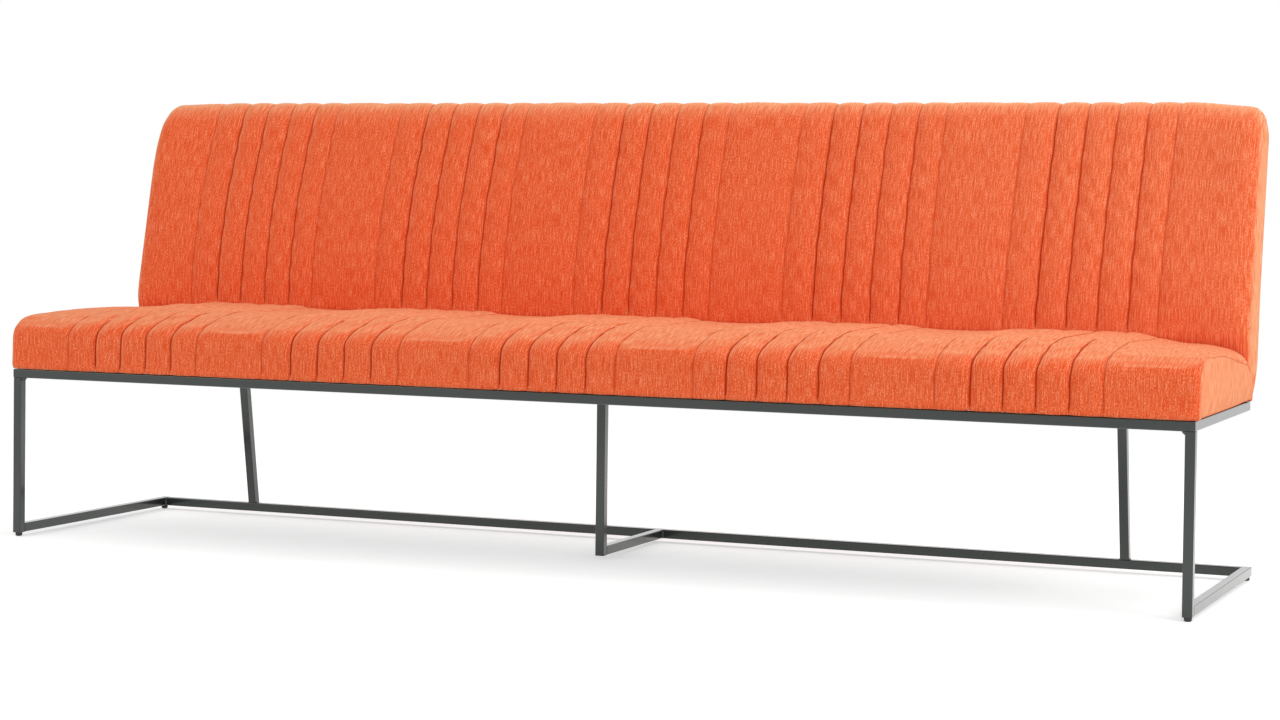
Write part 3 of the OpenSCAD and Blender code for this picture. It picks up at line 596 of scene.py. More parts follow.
def add_node(tree, kind, inputs=None, **settings):
    """Adds a node with its settings; an input is a value or another node's output."""
    made = tree.nodes.new(kind)
    for key, value in settings.items():
        setattr(made, key, value)
    for key, value in (inputs or {}).items():
        if isinstance(value, bpy.types.NodeSocket):
            tree.links.new(value, made.inputs[key])
        else:
            made.inputs[key].default_value = value
    return made


def new_material(name):
    """A material with only its shader and its output, its node tree and that shader."""
    material = bpy.data.materials.new(name)
    material.use_nodes = True
    tree = material.node_tree
    tree.nodes.clear()
    shader = add_node(tree, "ShaderNodeBsdfPrincipled")
    add_node(tree, "ShaderNodeOutputMaterial", {"Surface": shader.outputs["BSDF"]})
    return material, tree, shader


def surface(tree, shader, base, rough, relief, strength, depth):
    """Gives a shader its colour, its roughness, as a value or a pattern, and a relief of a depth in metres."""
    tree.links.new(base, shader.inputs["Base Color"])
    if isinstance(rough, bpy.types.NodeSocket):
        tree.links.new(rough, shader.inputs["Roughness"])
    else:
        shader.inputs["Roughness"].default_value = rough
    if relief:
        bump = add_node(tree, "ShaderNodeBump", {"Height": relief, "Strength": strength, "Distance": depth})
        tree.links.new(bump.outputs["Normal"], shader.inputs["Normal"])


# Distance between two bands of Blender's wave pattern at scale 1, in metres.
WAVE_STEP = 0.314159


def woven_upholstery():
    """Heathered polyester weave: soft, matt, with a vertical slub of light and dark yarns.

    Painted sheen: pale at grazing angles. Painted light on the crest, end panels and right end; painted shade in seams.
    """
    c = colours()
    material, tree, shader = new_material("Woven heather upholstery")
    uv = add_node(tree, "ShaderNodeUVMap", uv_map="cloth").outputs["UV"]
    # The yarn is 0.6 mm thick and its slubs about 1 mm by 40 mm; drawn 2 mm by 31 mm, so that they show in the render.
    slub = add_node(tree, "ShaderNodeMapping", {"Vector": uv, "Scale": (500, 32, 1)}).outputs[0]
    long = add_node(
        tree, "ShaderNodeTexNoise", {"Vector": slub, "Scale": 1, "Detail": 2, "Roughness": 0.6}, noise_dimensions="2D"
    ).outputs["Fac"]
    # Broken grain where the weft crosses, 2 mm by 4 mm.
    cross = add_node(tree, "ShaderNodeMapping", {"Vector": uv, "Scale": (520, 270, 1), "Location": (7.3, 3.1, 0)})
    weft = add_node(
        tree, "ShaderNodeTexNoise", {"Vector": cross.outputs[0], "Scale": 1, "Detail": 2}, noise_dimensions="2D"
    ).outputs["Fac"]
    tone = add_node(tree, "ShaderNodeMix", {0: 0.5, 2: long, 3: weft}, data_type="FLOAT").outputs[0]
    # Slow change of shade over a hand's width.
    cloud = add_node(tree, "ShaderNodeTexNoise", {"Vector": uv, "Scale": 9, "Detail": 2}, noise_dimensions="2D")
    shade = add_node(
        tree, "ShaderNodeMapRange", {"Value": cloud.outputs["Fac"], "From Min": 0.3, "From Max": 0.7, "To Max": 0.09}
    ).outputs[0]
    # Painted sheen: the cloth is painted paler, in nap colours, where it is seen along its surface.
    graze = add_node(tree, "ShaderNodeLayerWeight", {"Blend": 0.5}).outputs["Facing"]
    nap_sheen = add_node(
        tree,
        "ShaderNodeMapRange",
        {"Value": graze, "From Min": 0.26, "From Max": 0.86, "To Max": 0.68},
        interpolation_type="SMOOTHSTEP",
    ).outputs[0]
    # Painted light: the end panels and the back's crest are painted paler, and the back's front towards its right end.
    painted_light = add_node(tree, "ShaderNodeAttribute", attribute_name="painted_light").outputs["Fac"]
    nap_sheen = add_node(
        tree, "ShaderNodeMath", {0: painted_light, 1: 0.46, 2: nap_sheen}, operation="MULTIPLY_ADD", use_clamp=True
    ).outputs[0]
    # The painted sheen's colours, flecked with the slub.
    fleck = add_node(tree, "ShaderNodeMapRange", {"Value": long, "From Min": 0.36, "From Max": 0.64}).outputs[0]
    tips = add_node(tree, "ShaderNodeMix", {6: rgba(c.nap_sheen_deep), 7: rgba(c.nap_sheen), 0: fleck}, data_type="RGBA").outputs[2]
    # Painted shade: down in a seam a deeper red stands in for the shade of the crease.
    seam = add_node(tree, "ShaderNodeAttribute", attribute_name="seam").outputs["Fac"]
    sunk = add_node(tree, "ShaderNodeMath", {0: seam, 1: 0.92}, operation="MULTIPLY").outputs[0]
    pale = add_node(tree, "ShaderNodeMapRange", {"Value": tone, "From Min": 0.5, "From Max": 0.64}).outputs[0]
    deep = add_node(tree, "ShaderNodeMapRange", {"Value": tone, "From Min": 0.5, "From Max": 0.36}).outputs[0]
    base = rgba(c.fabric)
    for colour, part in (
        (rgba(c.fabric_pale), pale),
        (rgba(c.fabric_deep), deep),
        (rgba(c.fabric_deep), shade),
        (tips, nap_sheen),
        (rgba(c.seam), sunk),
    ):
        base = add_node(tree, "ShaderNodeMix", {6: base, 7: colour, 0: part}, data_type="RGBA").outputs[2]
    # Threads of the plain weave, 1.6 mm apart, as relief.
    warp = add_node(
        tree,
        "ShaderNodeTexWave",
        {"Vector": uv, "Scale": WAVE_STEP / 0.0016, "Distortion": 1.5, "Detail": 1},
        wave_type="BANDS",
        bands_direction="X",
    ).outputs["Fac"]
    height = add_node(tree, "ShaderNodeMath", {0: warp, 1: weft}, operation="ADD").outputs[0]
    height = add_node(tree, "ShaderNodeMath", {0: height, 1: long}, operation="ADD").outputs[0]
    surface(tree, shader, base, 0.92, height, 0.2, 0.0006)
    shader.inputs["Specular IOR Level"].default_value = 0.08
    shader.inputs["Sheen Weight"].default_value = 0.04
    shader.inputs["Sheen Roughness"].default_value = 0.5
    shader.inputs["Sheen Tint"].default_value = rgba("FFD8AE")
    return material


def powder_coated_steel():
    """Mild steel tube under a dark powder coat: satin, with a faint orange peel, and bright where it is seen along."""
    c = colours()
    material, tree, shader = new_material("Powder coated steel")
    place = add_node(tree, "ShaderNodeTexCoord").outputs["Object"]
    # Orange peel has a cell of about 1 mm; drawn at 2.5 mm.
    peel = add_node(tree, "ShaderNodeTexNoise", {"Vector": place, "Scale": 400, "Detail": 2}).outputs["Fac"]
    # Slow clouds of about 70 mm in its colour and gloss.
    cloud = add_node(tree, "ShaderNodeTexNoise", {"Vector": place, "Scale": 14, "Detail": 3}).outputs["Fac"]
    base = add_node(
        tree, "ShaderNodeMix", {6: rgba(c.steel), 7: rgba(c.steel_worn), 0: cloud}, data_type="RGBA"
    ).outputs[2]
    rough = add_node(tree, "ShaderNodeMapRange", {"Value": cloud, "To Min": 0.2, "To Max": 0.27}).outputs[0]
    surface(tree, shader, base, rough, peel, 0.12, 0.0003)
    shader.inputs["IOR"].default_value = 1.5
    shader.inputs["Specular Tint"].default_value = rgba("E2EEDC")
    shader.inputs["Coat Weight"].default_value = 0.7
    shader.inputs["Coat Roughness"].default_value = 0.1
    return material


def zinc_plated_steel():
    """Zinc plated screws and studs: a bright grey metal with a slightly cloudy, passivated skin."""
    material, tree, shader = new_material("Zinc plated steel")
    place = add_node(tree, "ShaderNodeTexCoord").outputs["Object"]
    # Clouds of about 4 mm.
    cloud = add_node(tree, "ShaderNodeTexNoise", {"Vector": place, "Scale": 260, "Detail": 3}).outputs["Fac"]
    base = add_node(
        tree, "ShaderNodeMix", {6: rgba("C3C6CA"), 7: rgba("A8ABA4"), 0: cloud}, data_type="RGBA"
    ).outputs[2]
    rough = add_node(tree, "ShaderNodeMapRange", {"Value": cloud, "To Min": 0.24, "To Max": 0.42}).outputs[0]
    surface(tree, shader, base, rough, None, 0, 0)
    shader.inputs["Metallic"].default_value = 1
    return material


def moulded_nylon():
    """Black nylon feet, injection moulded with a spark texture of 0.7 mm: satin, with grey scuffs of about 5 mm."""
    material, tree, shader = new_material("Moulded nylon")
    place = add_node(tree, "ShaderNodeTexCoord").outputs["Object"]
    spark = add_node(tree, "ShaderNodeTexNoise", {"Vector": place, "Scale": 1400, "Detail": 2}).outputs["Fac"]
    scuff = add_node(tree, "ShaderNodeTexNoise", {"Vector": place, "Scale": 180, "Detail": 4}).outputs["Fac"]
    worn = add_node(tree, "ShaderNodeMapRange", {"Value": scuff, "From Min": 0.55, "From Max": 0.75, "To Max": 0.5})
    base = add_node(
        tree, "ShaderNodeMix", {6: rgba("1B1B1D"), 7: rgba("3A3A3B"), 0: worn.outputs[0]}, data_type="RGBA"
    ).outputs[2]
    surface(tree, shader, base, 0.45, spark, 0.2, 0.0002)
    shader.inputs["IOR"].default_value = 1.53
    return material


def planed_pine():
    """Planed pine boards: pale, with growth rings about 4 mm apart running along the board, and a dull dry surface."""
    material, tree, shader = new_material("Planed pine")
    place = add_node(tree, "ShaderNodeTexCoord").outputs["Object"]
    # Along the board the grain is drawn out 15 times as long as across.
    run = add_node(tree, "ShaderNodeMapping", {"Vector": place, "Scale": (4, 60, 60)}).outputs[0]
    ring = add_node(
        tree, "ShaderNodeTexNoise", {"Vector": run, "Scale": 1.4, "Detail": 4, "Distortion": 0.6}
    ).outputs["Fac"]
    line = add_node(
        tree, "ShaderNodeTexWave", {"Vector": run, "Scale": 1.3, "Distortion": 5, "Detail": 3}, bands_direction="Y"
    ).outputs["Fac"]
    mixed = add_node(tree, "ShaderNodeMath", {0: ring, 1: line}, operation="MULTIPLY").outputs[0]
    base = add_node(
        tree, "ShaderNodeMix", {6: rgba("E2C79C"), 7: rgba("B98B57"), 0: mixed}, data_type="RGBA"
    ).outputs[2]
    surface(tree, shader, base, 0.7, mixed, 0.2, 0.0004)
    return material


def cut_foam():
    """Cut polyurethane foam: cream and matt, with open cells of about 1.4 mm."""
    material, tree, shader = new_material("Cut polyurethane foam")
    place = add_node(tree, "ShaderNodeTexCoord").outputs["Object"]
    cells = add_node(tree, "ShaderNodeTexVoronoi", {"Vector": place, "Scale": 700}).outputs["Distance"]
    base = add_node(
        tree, "ShaderNodeMix", {6: rgba("D8C99C"), 7: rgba("F2E8C8"), 0: cells}, data_type="RGBA"
    ).outputs[2]
    surface(tree, shader, base, 0.95, cells, 0.5, 0.0008)
    return material


def woven_webbing():
    """Elastic upholstery webbing, woven: black, ribbed every 3 mm, with a low sheen from its yarn."""
    material, tree, shader = new_material("Elastic webbing")
    place = add_node(tree, "ShaderNodeTexCoord").outputs["Object"]
    ribs = add_node(
        tree, "ShaderNodeTexWave", {"Vector": place, "Scale": 105, "Distortion": 0.5}, bands_direction="X"
    ).outputs["Fac"]
    base = add_node(tree, "ShaderNodeMix", {6: rgba("141416"), 7: rgba("33343A"), 0: ribs}, data_type="RGBA").outputs[2]
    surface(tree, shader, base, 0.75, ribs, 0.4, 0.0006)
    return material


def bonded_lining():
    """Black spun bonded lining: thin polypropylene felt, dusty, with a grid of small pressed dots 3 mm apart."""
    material, tree, shader = new_material("Spun bonded lining")
    place = add_node(tree, "ShaderNodeTexCoord").outputs["Object"]
    dots = add_node(
        tree, "ShaderNodeTexVoronoi", {"Vector": place, "Scale": 330, "Randomness": 0.15}, voronoi_dimensions="2D"
    ).outputs["Distance"]
    fibre = add_node(tree, "ShaderNodeTexNoise", {"Vector": place, "Scale": 90, "Detail": 5}).outputs["Fac"]
    base = add_node(
        tree, "ShaderNodeMix", {6: rgba("151517"), 7: rgba("2C2C30"), 0: fibre}, data_type="RGBA"
    ).outputs[2]
    surface(tree, shader, base, 0.85, dots, 0.4, 0.0004)
    return material


def give(starts, material):
    """Gives the CAD nodes whose names start so a material in place of their plain one."""
    for name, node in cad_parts.items():
        if name.startswith(starts):
            node.data.materials.clear()
            node.data.materials.append(material)


# Settings


class SofaSizes(bpy.types.PropertyGroup):
    """Sizes of the covers and welds"""

    seam_depth: bpy.props.FloatProperty(
        name="Seam depth", description="How far a pleat's seam sinks into the cover",
        default=0.006, min=0, unit="LENGTH",
    )
    strip_fullness: bpy.props.FloatProperty(
        name="Strip fullness", description="How far the strip between two seams stands proud",
        default=0.0013, min=0, unit="LENGTH",
    )
    tuck_lap: bpy.props.FloatProperty(
        name="Tuck lap", description="How much higher a strip starts on the folded side of its seam",
        default=0.0012, unit="LENGTH",
    )
    panel_sag: bpy.props.FloatProperty(
        name="Panel sag", description="How far the plain panels sink towards the back", default=0.0105, unit="LENGTH"
    )
    seat_swell: bpy.props.FloatProperty(
        name="Seat swell", description="The most that the seat's cover swells between its seams",
        default=0.0025, unit="LENGTH",
    )
    back_swell: bpy.props.FloatProperty(
        name="Back swell", description="The most that the back's cover swells between its seams",
        default=0.0025, unit="LENGTH",
    )
    grid: bpy.props.FloatProperty(
        name="Grid", description="Size of the cover's faces", default=0.0065, min=0.002, unit="LENGTH"
    )
    bead: bpy.props.FloatProperty(
        name="Weld bead", description="Width of the weld beads", default=0.0034, unit="LENGTH"
    )


class SofaColours(bpy.types.PropertyGroup):
    """Colours of the fabric and the steel"""

    fabric: bpy.props.FloatVectorProperty(
        name="Fabric", description="Main yarn of the fabric", default=linear("ED6436"), subtype="COLOR", min=0, max=1
    )
    fabric_pale: bpy.props.FloatVectorProperty(
        name="Pale yarn", description="Light slubs of the fabric",
        default=linear("F89168"), subtype="COLOR", min=0, max=1,
    )
    fabric_deep: bpy.props.FloatVectorProperty(
        name="Deep yarn", description="Dark slubs of the fabric",
        default=linear("DE4E25"), subtype="COLOR", min=0, max=1,
    )
    # Painted sheen: pale nap colours painted where the cloth is seen along its surface.
    nap_sheen: bpy.props.FloatVectorProperty(
        name="Nap", description="Tips of the nap, seen along the cloth",
        default=linear("FCB68C"), subtype="COLOR", min=0, max=1,
    )
    nap_sheen_deep: bpy.props.FloatVectorProperty(
        name="Nap, deeper", description="Darker yarns among the nap's tips",
        default=linear("E88A58"), subtype="COLOR", min=0, max=1,
    )
    # Painted shade: the deep red painted down in a seam, for the shade of the crease.
    seam: bpy.props.FloatVectorProperty(
        name="Seam", description="Yarn down in a seam", default=linear("BC3408"), subtype="COLOR", min=0, max=1
    )
    steel: bpy.props.FloatVectorProperty(
        name="Steel", description="Powder coat of the frame", default=linear("1C2124"), subtype="COLOR", min=0, max=1
    )
    steel_worn: bpy.props.FloatVectorProperty(
        name="Steel, lighter", description="Cloudier parts of the powder coat",
        default=linear("25292B"), subtype="COLOR", min=0, max=1,
    )


# Operators


class SOFA_OT_steel(bpy.types.Operator):
    """Powder coat on the tubes, bars, tabs and plates of the frame"""

    bl_idname = "sofa.steel"
    bl_label = "Steel frame"

    def execute(self, context):
        tubes = ("seat_rail", "seat_cross", "front_leg", "rear_leg", "centre_leg", "floor_")
        give(tubes + ("tube_end", "seat_tabs", "back_bars"), powder_coated_steel())
        return {"FINISHED"}


# A bead's step along its length, the pitch of its ripple, that ripple's height as a share of the bead's radius, and
# how deep its back lies in the corner.
BEAD_STEP, BEAD_RIPPLE, BEAD_HEIGHT, BEAD_SINK = 0.9, 2.6, 0.09, 0.4


def bead_mesh(bm, corner, u, v, along, length, r):
    """A weld bead in the corner of two faces: u and v point along the faces, away from the corner."""
    corner, u, v, along = (Vector(k) for k in (corner, u, v, along))
    n = max(8, int(length / BEAD_STEP))
    rings = []
    for i in range(n + 1):
        at = i / n
        ripple = 1 + BEAD_HEIGHT * math.sin(at * length / BEAD_RIPPLE * 2 * math.pi)
        taper = min(1, (min(at, 1 - at) * length + 0.8) / 1.6)
        k = r * ripple * taper
        middle = corner + along * (at - 0.5) * length
        ring = [middle - (u + v) * BEAD_SINK]
        for a in np.linspace(0, math.pi / 2, 6):
            bulge = 0.72 + 0.16 * abs(math.cos(2 * a))
            ring.append(middle + (u * math.cos(a) + v * math.sin(a)) * k * bulge - (u + v) * 0.15)
        rings.append([bm.verts.new(p * MM) for p in ring])
    m = len(rings[0])
    for a, b in zip(rings[:-1], rings[1:]):
        for k in range(m):
            bm.faces.new((a[k], a[(k + 1) % m], b[(k + 1) % m], b[k]))
    bm.faces.new(rings[0][::-1])
    bm.faces.new(rings[-1])


class SOFA_OT_welds(bpy.types.Operator):
    """Weld beads in the inner corners of the tube frame"""

    bl_idname = "sofa.welds"
    bl_label = "Weld beads"

    def execute(self, context):
        r = sizes().bead / MM
        half = TUBE / 2
        inner = FRAME_L / 2 - TUBE
        front, rear, floor_rear = FRONT_Y + TUBE, FRONT_Y + SEAT_D - TUBE, FRONT_Y + FLOOR_D - TUBE
        centre, rail_mid, floor_mid = FRONT_Y + CENTRE_Y, RAIL_Z + half, FLOOR_Z + half
        x, y, z, ahead, down = (1, 0, 0), (0, 1, 0), (0, 0, 1), (0, -1, 0), (0, 0, -1)
        beads = []
        for side in (-1, 1):
            into, out, edge, mid = (-side, 0, 0), (side, 0, 0), side * inner, side * (inner + half)
            beads += [
                # Front leg under the front rail and the end rail, and its runner behind it.
                ((edge, FRONT_Y + half, RAIL_Z), into, down, y, r * 1.9),
                ((mid, front, RAIL_Z), y, down, x, r),
                ((mid, front, FLOOR_TOP), y, z, x, r),
                # Inner corners of the seat frame, and the floor rail between the runners.
                ((edge, front, rail_mid), into, y, z, r),
                ((edge, rear, rail_mid), into, ahead, z, r),
                ((edge, floor_rear, floor_mid), into, ahead, z, r),
                # Cross rail and centre runner.
                ((side * half, front, rail_mid), out, y, z, r),
                ((side * half, rear, rail_mid), out, ahead, z, r),
                ((side * half, floor_rear, floor_mid), out, ahead, z, r),
            ]
            # Rear leg under the rear rail.
            for face in (-1, 1):
                beads.append(((side * REAR_LEG_X + face * half, rear + half, RAIL_Z), (face, 0, 0), down, y, r))
        beads += [
            ((0, centre, RAIL_Z), ahead, down, x, r),
            ((0, centre + TUBE, RAIL_Z), y, down, x, r),
            ((0, centre + TUBE, FLOOR_TOP), y, z, x, r),
        ]
        bm = bmesh.new()
        for corner, u, v, along, radius in beads:
            bead_mesh(bm, corner, u, v, along, TUBE - 5, radius)
        bmesh.ops.recalc_face_normals(bm, faces=bm.faces)
        mesh = bpy.data.meshes.new("weld_beads")
        bm.to_mesh(mesh)
        bm.free()
        mesh.shade_smooth()
        made = bpy.data.objects.new("weld_beads", mesh)
        context.collection.objects.link(made)
        made.data.materials.append(bpy.data.materials["Powder coated steel"])
        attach(made, "frame")
        return {"FINISHED"}


class SOFA_OT_fasteners(bpy.types.Operator):
    """Glides, studs, threaded inserts and screws"""

    bl_idname = "sofa.fasteners"
    bl_label = "Glides and fasteners"

    def execute(self, context):
        give("glide_foot", moulded_nylon())
        give(("glide_stud", "leg_inserts", "runner_nuts", "seat_screws", "back_screws"), zinc_plated_steel())
        return {"FINISHED"}


class SOFA_OT_inside(bpy.types.Operator):
    """Boards, webbing, foam and lining inside the covers"""

    bl_idname = "sofa.inside"
    bl_label = "Boards, webbing and foam"

    def execute(self, context):
        give(("seat_board", "back_board", "back_uprights"), planed_pine())
        give(("seat_webbing", "back_webbing"), woven_webbing())
        give(("seat_foam", "back_foam", "back_rear_pad"), cut_foam())
        give("seat_lining", bonded_lining())
        return {"FINISHED"}


# The painted shade along each cover's end edges and the painted light on its end panels, and the groove along the
# seat's.
SEAT_EDGE_MARK, SEAT_PANEL_PAINTED_LIGHT, SEAT_GROOVE = 0.45, 0.27, 0.4
BACK_EDGE_MARK, BACK_PANEL_PAINTED_LIGHT = 0.2, 0.76
# The painted shade in the seat's seams is this much darker than in the back's.
SEAT_SEAM_MARK = 1.25


class SOFA_OT_seat_cover(bpy.types.Operator):
    """Quilted cover of the seat, blown up as cloth between its seams"""

    bl_idname = "sofa.seat_cover"
    bl_label = "Seat cover"

    def execute(self, context):
        s = sizes()
        step = s.grid / MM
        across, line = Across(columns(step, FINE_NEAR, FINE_END)), SeatLine(step)
        points = seat_sheet(across, line)
        coarse, rough = Across(columns(COARSE_COLUMNS, COARSE_NEAR, COARSE_END)), SeatLine(COARSE_ROWS)
        # The seams, the hem, what lies under the back and the ends are held still.
        sheet = seat_sheet(coarse, rough)
        held = np.zeros(sheet.shape[:2])
        held[coarse.mask > 0.4] = 1
        held[:, rough.along < 20] = 1
        held[:, rough.y > MEET_Y - 4] = 1
        held[coarse.from_end < 5] = 1
        moved = resample(cloth_swell(sheet, held, False, s.seat_swell / MM), coarse.x, across.x)
        places = line.along * rough.along[-1] / line.along[-1]
        points += resample(moved.swapaxes(0, 1), rough.along, places).swapaxes(0, 1)
        mask = SEAT_SEAM_MARK * across.mask[:, None] * line.seam[None]
        mask[[0, -1]] = SEAT_EDGE_MARK
        hem_y = np.arange(HEM_REAR, HEM_FRONT, -CAP_PITCH)
        hem_z = RAIL_TOP + HEM_GAP + HEM_GAP * ease((hem_y - HEM_LIFT_Y) / HEM_LIFT_REACH)

        def inner(loop):
            p = loop.copy()
            p[:, 1] = FRONT_Y + snap(np.clip(loop[:, 1] - FRONT_Y, SEAT_PANEL_FRONT, SEAT_PANEL_REAR))
            p[:, 2] = RAIL_TOP + SEAT_PANEL_Z
            return p

        caps = []
        for column, sign in ((0, -1), (-1, 1)):
            hem = np.stack([np.full(len(hem_y), sign * HALF_L), FRONT_Y + hem_y, hem_z], 1)
            caps.append((column, hem, inner, sign))
        light_paint = np.zeros(mask.shape)
        looks = (SEAT_EDGE_MARK, SEAT_PANEL_PAINTED_LIGHT, SEAT_GROOVE)
        made = cover_object("seat_cover_cloth", points, False, across.x, line.along, mask, light_paint, caps, *looks)
        made.data.materials.append(fabric())
        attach(made, "frame")
        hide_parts("seat_cover")
        return {"FINISHED"}


class SOFA_OT_back_cover(bpy.types.Operator):
    """Quilted cover of the back, blown up as cloth between its seams"""

    bl_idname = "sofa.back_cover"
    bl_label = "Back cover"

    def execute(self, context):
        s = sizes()
        step = s.grid / MM
        across = Across(columns(step, FINE_NEAR, FINE_END))
        points, along, weight = back_ring(across, step)
        coarse = Across(columns(COARSE_COLUMNS, COARSE_NEAR, COARSE_END))
        # The drawn seams, the underside with the foot of the rear, the front's foot and the ends are held still.
        sheet, rough, share = back_ring(coarse, COARSE_ROWS)
        held = np.zeros(sheet.shape[:2])
        held[np.ix_(coarse.mask > 0.4, share > 0.3)] = 1
        held[:, rough < 250] = 1
        held[:, rough > rough[-1] - 20] = 1
        held[coarse.from_end < 5] = 1
        moved = resample(cloth_swell(sheet, held, True, s.back_swell / MM), coarse.x, across.x)
        ring = np.concatenate([moved, moved[:, :1]], 1).swapaxes(0, 1)
        points += resample(ring, np.append(rough, rough[-1] + rough[1]), along).swapaxes(0, 1)
        mask = across.mask[:, None] * weight[None]
        middle = points[len(points) // 2]
        up, forward = in_back(middle[:, 1], middle[:, 2])
        # Painted light: the crest is painted paler, and the front of the back a little paler towards its right end.
        light_paint = np.tile(ease((up - 502) / 60) * ease((forward + 8) / 34), (len(points), 1))
        light_paint = np.maximum(light_paint, 0.3 * ease(across.x / 1000)[:, None] * ease((forward - 25) / 30)[None])

        def inner(loop):
            up = snap(np.clip(in_back(loop[:, 1], loop[:, 2])[0], PANEL_LOW, PANEL_HIGH))
            y, z = back_frame(up, np.interp(up, (PANEL_LOW, 200), (PANEL_FOOT_T, PANEL_T)))
            return np.stack([loop[:, 0], y, z], 1)

        caps = [(column, np.zeros((0, 3)), inner, sign) for column, sign in ((0, -1), (-1, 1))]
        looks = (BACK_EDGE_MARK, BACK_PANEL_PAINTED_LIGHT)
        made = cover_object("back_cover_cloth", points, True, across.x, along, mask, light_paint, caps, *looks)
        made.data.materials.append(fabric())
        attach(made, "frame")
        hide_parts("back_cover")
        return {"FINISHED"}


def fabric():
    """The covers' one material."""
    return bpy.data.materials.get("Woven heather upholstery") or woven_upholstery()


# Lamps: place, size in metres and power in watts.
LAMPS = {
    "key": ((4.3, -1.5, 2.3), 2.4, 73),
    "fill": ((-3.4, -3.8, 1.9), 2.6, 42),
    "above": ((0.6, 0.9, 3.5), 3.2, 38),
}
LAMP_AIM = Vector((0, 0, 0.5))
# The camera, from a perspective fit to the frame's corners: its place from the seat's front, and its turns in radians.
EYE = (2.104285, -4.570463, 0.723514)
YAW, PITCH, ROLL = 0.4001826, 0.0290129, 0.0121663
LENS, SHIFT_X, SHIFT_Y = 76.172, 0.0032, -0.0730


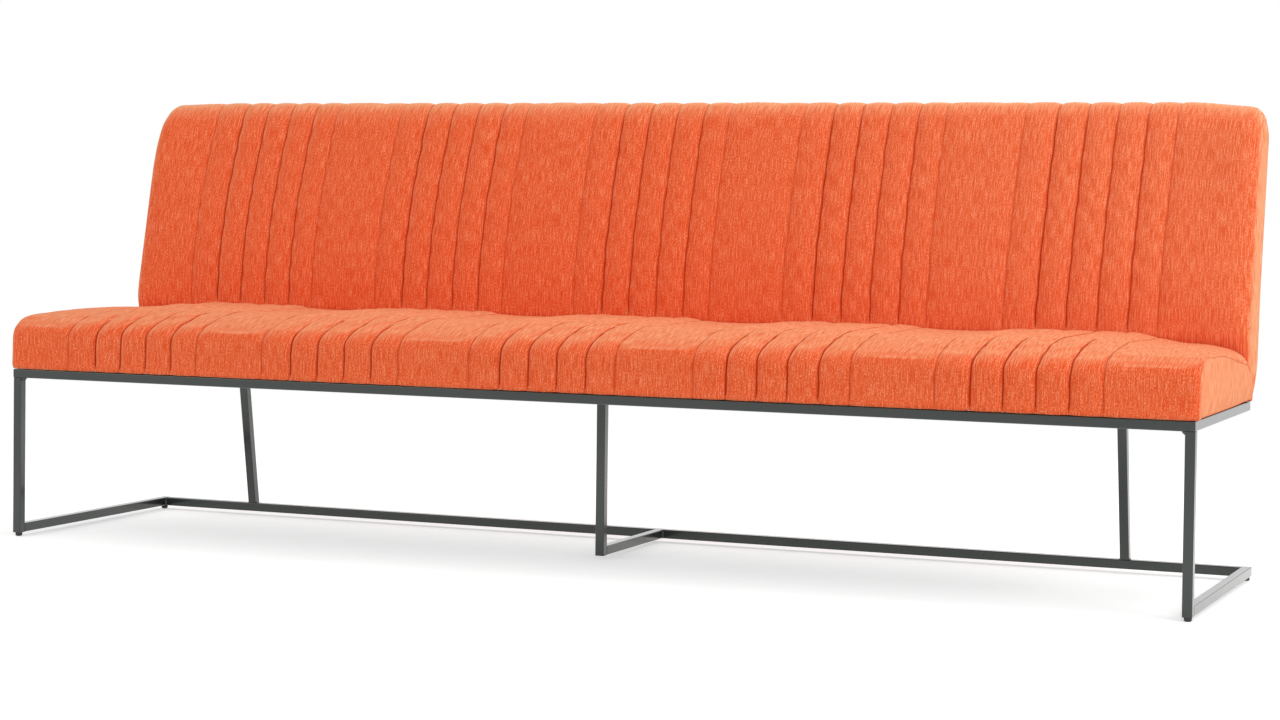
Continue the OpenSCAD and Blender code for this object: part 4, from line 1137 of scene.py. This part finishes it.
class SOFA_OT_stage(bpy.types.Operator):
    """Pale floor, soft lamps, white surround and the camera"""

    bl_idname = "sofa.stage"
    bl_label = "Studio"

    def execute(self, context):
        self.floor(context)
        self.surround(context)
        self.lamps(context)
        self.camera(context)
        context.scene.view_settings.view_transform = "Standard"
        return {"FINISHED"}

    def floor(self, context):
        mesh = bpy.data.meshes.new("floor")
        mesh.from_pydata([(-40, -30, 0), (40, -30, 0), (40, 50, 0), (-40, 50, 0)], [], [(0, 1, 2, 3)])
        floor = bpy.data.objects.new("floor", mesh)
        context.collection.objects.link(floor)
        floor.location.z = -0.0002
        material, tree, shader = new_material("Pale floor")
        place = add_node(tree, "ShaderNodeTexCoord").outputs["Object"]
        cloud = add_node(tree, "ShaderNodeTexNoise", {"Vector": place, "Scale": 1.5}).outputs["Fac"]
        base = add_node(
            tree, "ShaderNodeMix", {6: rgba("F0F0EF"), 7: rgba("F4F4F3"), 0: cloud}, data_type="RGBA"
        ).outputs[2]
        surface(tree, shader, base, 0.9, None, 0, 0)
        shader.inputs["Specular IOR Level"].default_value = 0.1
        # The camera sees the floor lifted towards white, and all white far away.
        path = add_node(tree, "ShaderNodeLightPath").outputs
        rays = {0: path["Is Camera Ray"], 1: path["Is Glossy Ray"]}
        seen = add_node(tree, "ShaderNodeMath", rays, operation="MAXIMUM").outputs[0]
        lift = add_node(tree, "ShaderNodeMath", {0: seen, 1: 0.46}, operation="MULTIPLY").outputs[0]
        tree.links.new(lift, shader.inputs["Emission Strength"])
        shader.inputs["Emission Color"].default_value = (1, 1, 1, 1)
        away = add_node(tree, "ShaderNodeVectorMath", {0: place}, operation="LENGTH").outputs["Value"]
        reach = {"Value": away, "From Min": 1.6, "From Max": 3.2}
        far = add_node(tree, "ShaderNodeMapRange", reach, interpolation_type="SMOOTHSTEP").outputs[0]
        far = add_node(tree, "ShaderNodeMath", {0: far, 1: seen}, operation="MULTIPLY").outputs[0]
        white = add_node(tree, "ShaderNodeEmission", {"Strength": 1.0}).outputs[0]
        both = add_node(tree, "ShaderNodeMixShader", {0: far, 1: shader.outputs[0], 2: white}).outputs[0]
        tree.links.new(both, tree.nodes["Material Output"].inputs["Surface"])
        floor.data.materials.append(material)

    def surround(self, context):
        """White where the camera sees it, also in reflections, and a plain level of light for the rest."""
        world = bpy.data.worlds.new("studio")
        context.scene.world = world
        world.use_nodes = True
        tree = world.node_tree
        tree.nodes.clear()
        path = add_node(tree, "ShaderNodeLightPath").outputs
        rays = {0: path["Is Camera Ray"], 1: path["Is Glossy Ray"]}
        shown = add_node(tree, "ShaderNodeMath", rays, operation="MAXIMUM").outputs[0]
        rays = {0: shown, 1: path["Is Transmission Ray"]}
        shown = add_node(tree, "ShaderNodeMath", rays, operation="MAXIMUM").outputs[0]
        level = add_node(tree, "ShaderNodeMix", {0: shown, 2: 0.62, 3: 1.0}, data_type="FLOAT").outputs[0]
        back = add_node(tree, "ShaderNodeBackground", {"Color": (1, 1, 1, 1), "Strength": level})
        add_node(tree, "ShaderNodeOutputWorld", {"Surface": back.outputs[0]})

    def lamps(self, context):
        for name, (place, size, power) in LAMPS.items():
            lamp = bpy.data.lights.new(name, "AREA")
            lamp.shape = "SQUARE"
            lamp.size = size
            lamp.energy = power
            made = bpy.data.objects.new(name, lamp)
            context.collection.objects.link(made)
            made.location = place
            made.rotation_euler = (LAMP_AIM - Vector(place)).to_track_quat("-Z", "Y").to_euler()
            made.visible_camera = False

    def camera(self, context):
        right = Vector((math.cos(YAW), math.sin(YAW), 0))
        ahead = Vector((-math.sin(YAW) * math.cos(PITCH), math.cos(YAW) * math.cos(PITCH), -math.sin(PITCH)))
        up = right.cross(ahead)
        side = math.cos(ROLL) * right + math.sin(ROLL) * up
        top = -math.sin(ROLL) * right + math.cos(ROLL) * up
        eye = bpy.data.cameras.new("camera")
        eye.sensor_width = 36
        eye.lens = LENS
        eye.shift_x = SHIFT_X
        eye.shift_y = SHIFT_Y
        eye.clip_end = 200
        camera = bpy.data.objects.new("camera", eye)
        context.collection.objects.link(camera)
        turn = Matrix((side, top, -ahead)).transposed().to_4x4()
        camera.matrix_world = Matrix.Translation((EYE[0], EYE[1] + FRONT_Y * MM, EYE[2])) @ turn
        context.scene.camera = camera


class SOFA_PT_panel(bpy.types.Panel):
    """Lists the steps, sizes and colours of the sofa"""

    bl_idname = "SOFA_PT_panel"
    bl_label = "Dining sofa"
    bl_space_type = "VIEW_3D"
    bl_region_type = "UI"
    bl_category = "Sofa"

    def draw(self, context):
        for name in STEPS:
            self.layout.operator("sofa." + name)
        for group in (sizes(), colours()):
            box = self.layout.box()
            for key in group.__annotations__:
                box.prop(group, key)


STEPS = ("steel", "welds", "fasteners", "inside", "seat_cover", "back_cover", "stage")
CLASSES = (
    SofaSizes,
    SofaColours,
    SOFA_OT_steel,
    SOFA_OT_welds,
    SOFA_OT_fasteners,
    SOFA_OT_inside,
    SOFA_OT_seat_cover,
    SOFA_OT_back_cover,
    SOFA_OT_stage,
    SOFA_PT_panel,
)


def register():
    for made in CLASSES:
        bpy.utils.register_class(made)
    bpy.types.Scene.dining_sofa_sizes = bpy.props.PointerProperty(type=SofaSizes)
    bpy.types.Scene.dining_sofa_colours = bpy.props.PointerProperty(type=SofaColours)


def unregister():
    del bpy.types.Scene.dining_sofa_colours
    del bpy.types.Scene.dining_sofa_sizes
    for made in reversed(CLASSES):
        bpy.utils.unregister_class(made)


def main():
    register()
    for name in STEPS:
        getattr(bpy.ops.sofa, name)()


if __name__ == "__main__":
    main()
